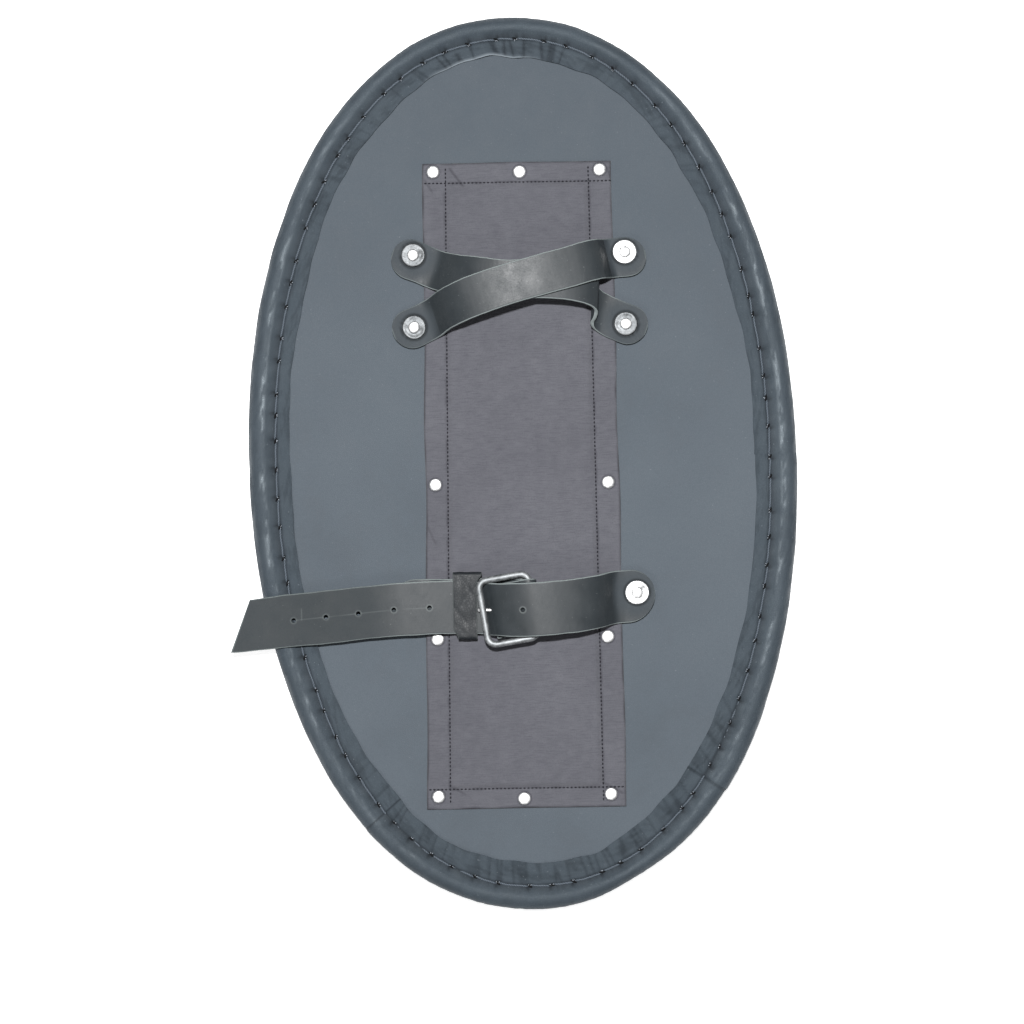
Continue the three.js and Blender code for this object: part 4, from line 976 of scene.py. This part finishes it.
def keeper_points():
    """The loop's section is a rounded strip 22.5 mm wide; diagonal creases push its top face in and out."""
    loop, out = rounded_loop(KEEPER_SPAN, keeper_top - keeper_base, KEEPER_CORNER, 8, 26)
    section, worn = strap_section(KEEPER_WIDTH / 2, KEEPER_LEATHER, 0.8, 15, 4)
    x, (s, n) = loop[:, :1], section.T
    creases = sum(depth * hump(x * 0.62 + s * slope - at, 1.5) for at, slope, depth in KEEPER_CREASES)
    depth = n - soft_step(out[:, 1:], 0.5, 1.0) * creases + 0.3 * uneven(lengths(loop)[:, None], s, 18, 141)
    v, z = (loop - out * KEEPER_LEATHER / 2).T[:, :, None] + out.T[:, :, None] * depth
    slanted = 4.5 * soft_step(-x, 20, 31) * soft_step(-s, 2, 11) + 5.0 * soft_step(x, 21, 30) * soft_step(s, 1, 11)
    points = np.stack([KEEPER_U + s + slanted, KEEPER_V + v, (keeper_top + keeper_base) / 2 + z], axis=2)
    return points, uv_grid(lengths(loop, 1), lengths(section, 1)), {"cut_edge": worn}


keeper_grid, keeper_uv, keeper_masks = keeper_points()
keeper = surface("strap_keeper_leather", on_board(keeper_grid), keeper_uv, closed_rows=True, masks=keeper_masks)

# %% [markdown]
# ## Buckle and tongue
#
# The buckle is a rounded frame of bent steel wire, and the tongue is one wire that is bent round its right bar and
# runs straight across. Both are tubes along a path.

# %% Buckle frame
buckle_path = at_height(rounded_loop(BUCKLE_WIDTH - BUCKLE_WIRE, BUCKLE_LENGTH - BUCKLE_WIRE, 8.0, 12, 18)[0], 0)
wire_radius = BUCKLE_WIRE / 2 * (1 + 0.02 * uneven(lengths(buckle_path), 0, 24, 151))
buckle_grid = turned_by(tube_grid(buckle_path, wire_radius, 24, True), BUCKLE_TURN) + (BUCKLE_U, BUCKLE_V, buckle_level)
buckle = surface("buckle_frame_steel", on_board(buckle_grid), tube_uv(buckle_path, BUCKLE_WIRE, 24, True),
                 closed_rows=True)


# %% Tongue
def tongue_points():
    """One wire: most of a circle round the bar, upright along the strap's length, then straight to the tip."""
    start_u = bar_u(1, TONGUE_V)
    turn = np.radians(np.linspace(-52, 270, 60))
    ring = np.stack([start_u + eye_radius * np.cos(turn), np.full(60, TONGUE_V),
                     buckle_level + eye_radius * np.sin(turn)], axis=1)
    run = np.array([start_u - bar_u(-1, TONGUE_V) + TONGUE_BEYOND_BAR, 0, 0])
    path = np.concatenate([ring, ring[-1] - np.linspace(0, 1, 50)[1:, None] * run])
    side = np.broadcast_to([0.0, 1.0, 0.0], path.shape)
    up = np.cross(side, direction(np.gradient(path, axis=0)))
    from_start = np.linalg.norm(path - path[0], axis=1) + 3 * (np.arange(len(path)) > 20)
    taper = quarter(np.linalg.norm(path - path[-1], axis=1) / 2.2, 0.003) * quarter(from_start / 1.2, 0.003)
    return tube_grid(path, TONGUE_WIRE / 2 * taper, 20, frames=(side, up)), path


tongue_grid, tongue_path = tongue_points()
tongue = surface("buckle_tongue_steel", on_board(tongue_grid), tube_uv(tongue_path, TONGUE_WIRE, 20))

# %% [markdown]
# ## Materials
#
# Effects that several finishes share are node groups: leather grain, pale specks and scratches, and a cloudy
# variation of tone. Each group only puts out masks and heights, and the shader stays in the material. Patterns read
# Object coordinates, which are metres in the frame, so a scale of 1000 is one wave to the millimetre.

# %% Node helpers
def feed(tree, socket, value):
    """Links a socket to an input, or sets the input to a number, a vector or a colour."""
    if isinstance(value, bpy.types.NodeSocket):
        tree.links.new(value, socket)
    else:
        socket.default_value = (*value, 1) if socket.type == "RGBA" else value


def node(tree, kind, output, inputs, **settings):
    """A new node with its settings and inputs. Returns one of its outputs."""
    made = tree.nodes.new("ShaderNode" + kind)
    for label, value in settings.items():
        setattr(made, label, value)
    for label, value in inputs.items():
        feed(tree, made.inputs[label], value)
    return made.outputs[output]


def times(tree, a, b, clamp=False):
    return node(tree, "Math", 0, {0: a, 1: b}, operation="MULTIPLY", use_clamp=clamp)


def plus(tree, a, b, clamp=False):
    return node(tree, "Math", 0, {0: a, 1: b}, operation="ADD", use_clamp=clamp)


def minus(tree, a, b):
    return node(tree, "Math", 0, {0: a, 1: b}, operation="SUBTRACT")


def noise(tree, vector, scale, detail=3.0, rough=0.55, distort=0.0):
    return node(tree, "TexNoise", "Fac",
                {"Vector": vector, "Scale": scale, "Detail": detail, "Roughness": rough, "Distortion": distort})


def remap(tree, value, low, high, to_low=0.0, to_high=1.0):
    return node(tree, "MapRange", "Result",
                {"Value": value, "From Min": low, "From Max": high, "To Min": to_low, "To Max": to_high})


def tint(tree, base, colour, mask):
    """Mixes a colour over a base by a mask."""
    return node(tree, "Mix", 2, {0: mask, 6: base, 7: colour}, data_type="RGBA")


def new_group(name, inputs, outputs):
    """An empty node group with a vector, float inputs and float outputs. Returns it, what it is given and its ends."""
    group = bpy.data.node_groups.new(name, "ShaderNodeTree")
    group.interface.new_socket("Vector", in_out="INPUT", socket_type="NodeSocketVector")
    for label, value in inputs.items():
        group.interface.new_socket(label, in_out="INPUT", socket_type="NodeSocketFloat").default_value = value
    for label in outputs:
        group.interface.new_socket(label, in_out="OUTPUT", socket_type="NodeSocketFloat")
    return group, group.nodes.new("NodeGroupInput").outputs, group.nodes.new("NodeGroupOutput").inputs


# %% Group: leather grain
def build_grain():
    """Pebbles are the distance to Voronoi edges; wrinkles are stretched noise. Height is their weighted sum."""
    group, given, out = new_group("leather grain", {"Pebble scale": 900.0, "Wrinkle scale": 160.0},
                                  ["Height", "Crevice"])
    cells = node(group, "TexVoronoi", "Distance", {"Vector": given["Vector"], "Scale": given["Pebble scale"]},
                 feature="DISTANCE_TO_EDGE")
    pebble = remap(group, cells, 0.0, 0.22)
    wrinkle = noise(group, given["Vector"], given["Wrinkle scale"], 4.0, 0.6, 0.6)
    feed(group, out["Height"], plus(group, times(group, pebble, 0.45), times(group, wrinkle, 0.9)))
    # Crevice marks the grain's hollows; the leathers darken their colour there as painted shade.
    feed(group, out["Crevice"], minus(group, 1.0, pebble))
    return group


# %% Group: specks and scratches
def build_specks():
    """Specks are the tops of a fine noise; scratches are thin lines of a stretched, thresholded noise."""
    group, given, out = new_group("specks and scratches", {"Speck scale": 420.0, "Share": 0.3}, ["Specks", "Scratches"])
    fine = noise(group, given["Vector"], given["Speck scale"], 2.0, 0.5)
    lift = times(group, noise(group, given["Vector"], 14.0, 2.0, 0.5), given["Share"])
    feed(group, out["Specks"], remap(group, plus(group, fine, times(group, lift, 0.25)), 0.72, 0.8))
    marks = []
    for turn, stretch in ((0.5, 9.0), (2.2, 14.0)):
        place = node(group, "Mapping", "Vector", {"Vector": given["Vector"], "Rotation": (0, 0, turn),
                                                  "Scale": (stretch * 14, 5.0, 5.0)})
        thin = node(group, "Math", 0, {0: minus(group, noise(group, place, 1.0, 3.0, 0.5, 0.3), 0.5)},
                    operation="ABSOLUTE")
        broken = remap(group, noise(group, given["Vector"], 33.0 + turn), 0.6, 0.68)
        marks.append(times(group, remap(group, thin, 0.0, 0.006, 1.0, 0.0), broken))
    total = node(group, "Math", 0, {0: marks[0], 1: marks[1]}, operation="MAXIMUM")
    feed(group, out["Scratches"], times(group, total, given["Share"], True))
    return group


# %% Group: clouds of tone
def build_clouds():
    """Two noises of different size, centred on zero: slow patches and a mottled middle size."""
    group, given, out = new_group("clouds of tone", {"Patch scale": 6.0, "Mottle scale": 60.0}, ["Patches", "Mottle"])
    for label, scale, detail in (("Patches", "Patch scale", 2.0), ("Mottle", "Mottle scale", 4.0)):
        feed(group, out[label], minus(group, noise(group, given["Vector"], given[scale], detail, 0.6), 0.5))
    return group


grain_group, specks_group, clouds_group = build_grain(), build_specks(), build_clouds()
print("node groups:", [group.name for group in bpy.data.node_groups])


# %% Material builder
def place_group(tree, group, vector, **values):
    """Outputs of a node group; _ stands for a space in the names of its inputs."""
    made = tree.nodes.new("ShaderNodeGroup")
    made.node_tree = group
    for label, value in {"Vector": vector, **values}.items():
        feed(tree, made.inputs[label.replace("_", " ")], value)
    return made.outputs


def new_material(name, rough, metallic=0.0, specular=0.5):
    """A material with its Principled shader and Object coordinates."""
    material = bpy.data.materials.new(name)
    material.use_nodes = True
    tree = material.node_tree
    shader = tree.nodes["Principled BSDF"].inputs
    for label, value in (("Roughness", rough), ("Metallic", metallic), ("Specular IOR Level", specular)):
        shader[label].default_value = value
    return material, tree, shader, node(tree, "TexCoord", "Object", {})


def bump(tree, shader, height, distance):
    """A bump as deep as distance, in millimetres, where the height is 1."""
    inputs = {"Strength": 1.0, "Distance": distance * MM, "Height": height}
    feed(tree, shader["Normal"], node(tree, "Bump", "Normal", inputs))


def mask_of(tree, name):
    return node(tree, "Attribute", "Fac", {}, attribute_name=name)


def leather(name, deep, main, light, edge, rough, specular, pebble, wrinkle, specks, height, top_shade=0.0, masks=()):
    """Leather: three tones mixed by clouds, darkened in its crevices as painted shade, changed by masks (name, colour,
    amount, roughness).

    It can be darkened slowly towards the top of the shield, as painted shade where less light falls.
    """
    material, tree, shader, place = new_material(name, rough, specular=specular)
    clouds = place_group(tree, clouds_group, place, Patch_scale=7.0, Mottle_scale=55.0)
    grain = place_group(tree, grain_group, place, Pebble_scale=pebble, Wrinkle_scale=wrinkle)
    marks = place_group(tree, specks_group, place, Share=specks)
    tone = plus(tree, clouds["Patches"], times(tree, clouds["Mottle"], 0.8))
    colour = tint(tree, main, light, remap(tree, tone, 0.0, 0.42))
    colour = tint(tree, colour, deep, remap(tree, tone, 0.0, -0.42))
    # Painted shade: the grain's crevices are darkened.
    colour = tint(tree, colour, deep, times(tree, grain["Crevice"], 0.35))
    # Painted shade: darker towards the top of the shield.
    if top_shade:
        upwards = node(tree, "SeparateXYZ", "Y", {0: place})
        colour = tint(tree, colour, deep, remap(tree, upwards, 0.0, 0.4, 0.0, top_shade))
    roughness = plus(tree, times(tree, clouds["Mottle"], 0.25), rough)
    roughness = plus(tree, roughness, times(tree, grain["Crevice"], 0.1))
    for mask, shade, amount, change in masks:
        value = mask_of(tree, mask)
        colour = tint(tree, colour, shade, times(tree, value, amount))
        roughness = plus(tree, roughness, times(tree, value, change), True)
    for label, amount in (("Specks", 0.22), ("Scratches", 0.8)):
        colour = tint(tree, colour, edge, times(tree, marks[label], amount))
    feed(tree, shader["Base Color"], colour)
    feed(tree, shader["Roughness"], roughness)
    bump(tree, shader, grain["Height"], height)
    return material


# %% Leathers
# The board facing is darkened towards the top of the shield as painted shade.
board_leather = leather("board facing leather", (0.054, 0.067, 0.081), (0.071, 0.087, 0.104), (0.083, 0.100, 0.117),
                        (0.30, 0.32, 0.34), 0.70, 0.35, 700.0, 120.0, 0.05, 0.15, top_shade=0.8)
edge_leather = leather("edge leather", (0.018, 0.024, 0.030), (0.034, 0.044, 0.055), (0.052, 0.066, 0.079),
                       (0.28, 0.31, 0.34), 0.62, 0.4, 620.0, 150.0, 0.10, 0.08,
                       masks=(("flange", (0.039, 0.050, 0.061), 0.7, 0.12), ("worn", (0.044, 0.056, 0.068), 0.25, 0.0),
                              # Polish lowers the roughness and also lightens the colour, a painted sheen.
                              ("polish_and_painted_sheen", (0.060, 0.073, 0.085), 0.35, -0.26),
                              # Painted shade in the stitch groove.
                              ("groove", (0.011, 0.014, 0.018), 0.8, 0.1),
                              # Painted shade in the folds and at the laps, with random dark blotches on the flange.
                              ("crease", (0.011, 0.014, 0.018), 0.85, 0.1),
                              # Next: a painted highlight on the flange's cut end at the top, and near-black painted
                              # shade in the awl holes.
                              ("painted_end_highlight", (0.24, 0.27, 0.30), 0.8, 0.0), ("holes", (0.003, 0.003, 0.004), 0.95, 0.2)))
edge_leather.node_tree.nodes["Principled BSDF"].inputs["Specular Tint"].default_value = (0.84, 0.94, 1.0, 1)
strap_leather = leather("strap leather", (0.016, 0.020, 0.022), (0.025, 0.030, 0.034), (0.036, 0.042, 0.046),
                        (0.24, 0.26, 0.26), 0.40, 0.26, 1000.0, 90.0, 0.10, 0.015,
                        masks=(("bend", (0.026, 0.031, 0.034), 0.25, 0.0), ("cut_edge", (0.23, 0.26, 0.26), 0.8, 0.3),
                               ("marks", (0.20, 0.22, 0.22), 0.8, 0.2),
                               ("tab", (0.042, 0.051, 0.059), 0.8, 0.26), ("tail", (0.028, 0.035, 0.039), 0.6, 0.28),
                               # Painted shade round the washers' edges.
                               ("washer_edge_shade", (0.010, 0.012, 0.014), 0.8, 0.1)))
keeper_leather = leather("keeper leather", (0.007, 0.009, 0.011), (0.012, 0.015, 0.018), (0.020, 0.024, 0.028),
                         (0.20, 0.22, 0.22), 0.5, 0.3, 420.0, 90.0, 0.12, 0.1,
                         masks=(("cut_edge", (0.09, 0.10, 0.10), 0.7, 0.2),))


# %% Cloth of the pad
def cloth():
    """Plain weave: two crossed waves of threads, over a felted noise, with painted shade in the seams, along the edges,
    round the rivets and in the folds.
    """
    material, tree, shader, place = new_material("pad cloth", 0.93, specular=0.2)
    clouds = place_group(tree, clouds_group, place, Patch_scale=9.0, Mottle_scale=90.0)
    weave = times(tree, *[node(tree, "TexWave", "Fac", {"Vector": place, "Scale": 310.0, "Distortion": 0.8,
                                                        "Detail Scale": 3.0}, bands_direction=way) for way in "XY"])
    fuzz = noise(tree, place, 900.0, 3.0, 0.7)
    streaks = noise(tree, node(tree, "Mapping", "Vector", {"Vector": place, "Scale": (90, 900, 300)}), 1.0, 3.0, 0.6)
    tone = plus(tree, clouds["Mottle"], clouds["Patches"])
    colour = tint(tree, (0.097, 0.098, 0.113), (0.120, 0.121, 0.137), remap(tree, tone, 0.0, 0.6))
    colour = tint(tree, colour, (0.075, 0.076, 0.089), remap(tree, tone, 0.0, -0.6))
    colour = tint(tree, colour, (0.060, 0.060, 0.074), times(tree, remap(tree, streaks, 0.52, 0.3), 0.5))
    colour = tint(tree, colour, (0.050, 0.051, 0.062), times(tree, remap(tree, fuzz, 0.5, 0.25), 0.5))
    # Painted shade: the seam, the edges and rivet rings, and the folds.
    for mask, amount in (("seam", 0.55), ("outline", 0.85), ("folds", 0.85)):
        colour = tint(tree, colour, (0.016, 0.016, 0.022), times(tree, mask_of(tree, mask), amount))
    feed(tree, shader["Base Color"], colour)
    shader["Sheen Weight"].default_value = 0.15
    shader["Sheen Roughness"].default_value = 0.6
    bump(tree, shader, plus(tree, times(tree, weave, 0.6), times(tree, fuzz, 0.8)), 0.3)
    return material


# %% Steel
def steel(name, dark, bright, rough, scale):
    """Worn steel: a cloudy mix of two greys, with roughness from the same clouds and a shallow bump."""
    material, tree, shader, place = new_material(name, rough, metallic=1.0)
    clouds = place_group(tree, clouds_group, place, Patch_scale=90.0, Mottle_scale=scale)
    marks = place_group(tree, specks_group, place, Speck_scale=900.0, Share=0.8)
    tone = plus(tree, clouds["Patches"], clouds["Mottle"])
    colour = tint(tree, bright, dark, remap(tree, tone, 0.05, -0.35))
    feed(tree, shader["Base Color"], tint(tree, colour, dark, times(tree, marks["Specks"], 0.6)))
    feed(tree, shader["Roughness"], plus(tree, times(tree, clouds["Mottle"], 0.4), rough, True))
    bump(tree, shader, noise(tree, place, 350.0, 3.0), 0.12)
    return material


# %% Thread and holes
def thread(name, dark, light):
    """Waxed thread: a twist of slanted bands along the UV, two tones and a small bump."""
    material, tree, shader, _ = new_material(name, 0.6, specular=0.3)
    twist = node(tree, "TexWave", "Fac", {"Vector": node(tree, "UVMap", "UV", {}), "Scale": 260.0},
                 bands_direction="DIAGONAL")
    feed(tree, shader["Base Color"], tint(tree, dark, light, twist))
    bump(tree, shader, twist, 0.15)
    return material


pad_cloth = cloth()
bright_steel = steel("rivet steel", (0.45, 0.46, 0.47), (0.95, 0.95, 0.95), 0.52, 400.0)
# A much darker copy of the rivet steel: painted shade for the three washers that show grey.
shaded_washer_steel = steel("washer steel", (0.03, 0.033, 0.036), (0.15, 0.157, 0.162), 0.55, 420.0)
dull_steel = steel("buckle steel", (0.16, 0.17, 0.178), (0.36, 0.375, 0.385), 0.62, 260.0)
rim_thread = thread("rim thread", (0.044, 0.056, 0.072), (0.100, 0.120, 0.145))
# A much lighter copy of the rim thread for its ends: painted highlight.
thread_end_highlight = thread("pale thread ends", (0.22, 0.25, 0.29), (0.50, 0.54, 0.60))
pad_thread = thread("pad thread", (0.012, 0.012, 0.018), (0.034, 0.034, 0.044))
# Near-black awl holes: painted shade standing for the hollow of each hole.
awl_hole_shade, hole_tree, hole_shader, hole_place = new_material("awl holes", 0.9, specular=0.1)
feed(hole_tree, hole_shader["Base Color"],
     tint(hole_tree, (0.004, 0.004, 0.005), (0.010, 0.011, 0.012), noise(hole_tree, hole_place, 800.0)))
print("materials:", [material.name for material in bpy.data.materials])


# %% Put the finishes on, attach each piece and hide the CAD nodes it replaces
def finish_piece(piece, material, slot, *nodes):
    piece.data.materials.clear()
    piece.data.materials.append(material)
    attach(piece, "root")
    if nodes:
        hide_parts(*nodes)


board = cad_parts["board"]
if board.material_slots:
    board.material_slots[0].material = board_leather
else:
    board.data.materials.append(board_leather)
finish_piece(binding, edge_leather, "edge_leather", "edge_binding")
for piece in rim_threads:
    finish_piece(piece, rim_thread, "edge_leather")
for piece in rim_holes:
    finish_piece(piece, awl_hole_shade, "edge_leather")
finish_piece(rim_ends, thread_end_highlight, "edge_leather")
finish_piece(pad, pad_cloth, "pad_cloth", "arm_pad")
finish_piece(pad_stitches, pad_thread, "pad_cloth")
for number, piece in enumerate(small_rivets, start=1):
    finish_piece(piece, bright_steel, "rivet_steel", f"pad_rivet_{number:02d}")
for label, head, disc in zip(STRAP_RIVETS, strap_rivets, washers):
    finish_piece(head, bright_steel, "rivet_steel", f"strap_rivet_{label}")
    # Three washers get the darker copy of the steel, painted shade.
    shaded_washer = label in ("upper_left", "lower_left", "lower_right")
    finish_piece(disc, shaded_washer_steel if shaded_washer else bright_steel, "rivet_steel", f"strap_washer_{label}")
for piece, node_name in ((over_strap, "hand_strap_over"), (under_strap, "hand_strap_under"),
                         (forearm_strap, "forearm_strap"), (buckle_strap, "buckle_strap")):
    finish_piece(piece, strap_leather, "strap_leather", node_name)
finish_piece(keeper, keeper_leather, "strap_leather", "strap_keeper")
finish_piece(buckle, dull_steel, "buckle_steel", "buckle_frame")
finish_piece(tongue, bright_steel, "buckle_steel", "buckle_tongue")

# %% [markdown]
# ## Floor, light and camera
#
# The shield lies on a pale floor that glows evenly, and the camera looks straight down on it. A small key light a
# little towards the top of the shield gives crisp shadows; a weak broad fill from the lower left and a dim grey world
# light the rest.

# %% Floor
FLOOR_LEVEL = float(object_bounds()[0][2]) - 0.0002
floor_mesh = bpy.data.meshes.new("floor")
FLOOR_HALF = 6
corners = [(x * FLOOR_HALF, y * FLOOR_HALF, FLOOR_LEVEL) for x, y in ((-1, -1), (1, -1), (1, 1), (-1, 1))]
floor_mesh.from_pydata(corners, [], [(0, 1, 2, 3)])
floor = bpy.data.objects.new("floor", floor_mesh)
bpy.context.scene.collection.objects.link(floor)
floor_material, floor_tree, floor_shader, _ = new_material("floor", 0.9, specular=0.1)
for label, value in (("Base Color", (0.8, 0.8, 0.8)), ("Emission Color", (1, 1, 1)), ("Emission Strength", 0.75)):
    feed(floor_tree, floor_shader[label], value)
floor.data.materials.append(floor_material)


# %% Lights
def area_light(name, place, size, power):
    """A square light that looks at the middle of the shield."""
    light = bpy.data.lights.new(name, "AREA")
    light.shape, light.size, light.size_y, light.energy = "RECTANGLE", size, size, power
    lamp = bpy.data.objects.new(name, light)
    lamp.location = place
    lamp.rotation_euler = (-Vector(place)).to_track_quat("-Z", "Y").to_euler()
    bpy.context.scene.collection.objects.link(lamp)


area_light("key", (-0.05, 0.55, 3.1), 0.12, 158)
area_light("fill", (-0.9, -1.3, 1.5), 0.9, 9)
world = bpy.data.worlds.new("studio")
world.use_nodes = True
world.node_tree.nodes["Background"].inputs["Color"].default_value = (1, 1, 1, 1)
world.node_tree.nodes["Background"].inputs["Strength"].default_value = 0.12
bpy.context.scene.world = world
bpy.context.scene.view_settings.view_transform = "Standard"

# %% Camera
VIEW_WIDTH, VIEW_DISTANCE, SENSOR = 0.9652, 2.8, 36
camera = bpy.data.cameras.new("camera")
camera.sensor_width = SENSOR
camera.lens = SENSOR * VIEW_DISTANCE / VIEW_WIDTH
viewer = bpy.data.objects.new("camera", camera)
viewer.location = (-0.0121, -0.0456, VIEW_DISTANCE + 0.012)
viewer.rotation_euler = (0, 0, math.radians(-2.25))
bpy.context.scene.collection.objects.link(viewer)
bpy.context.scene.camera = viewer

# %% Update the scene
bpy.context.view_layer.update()
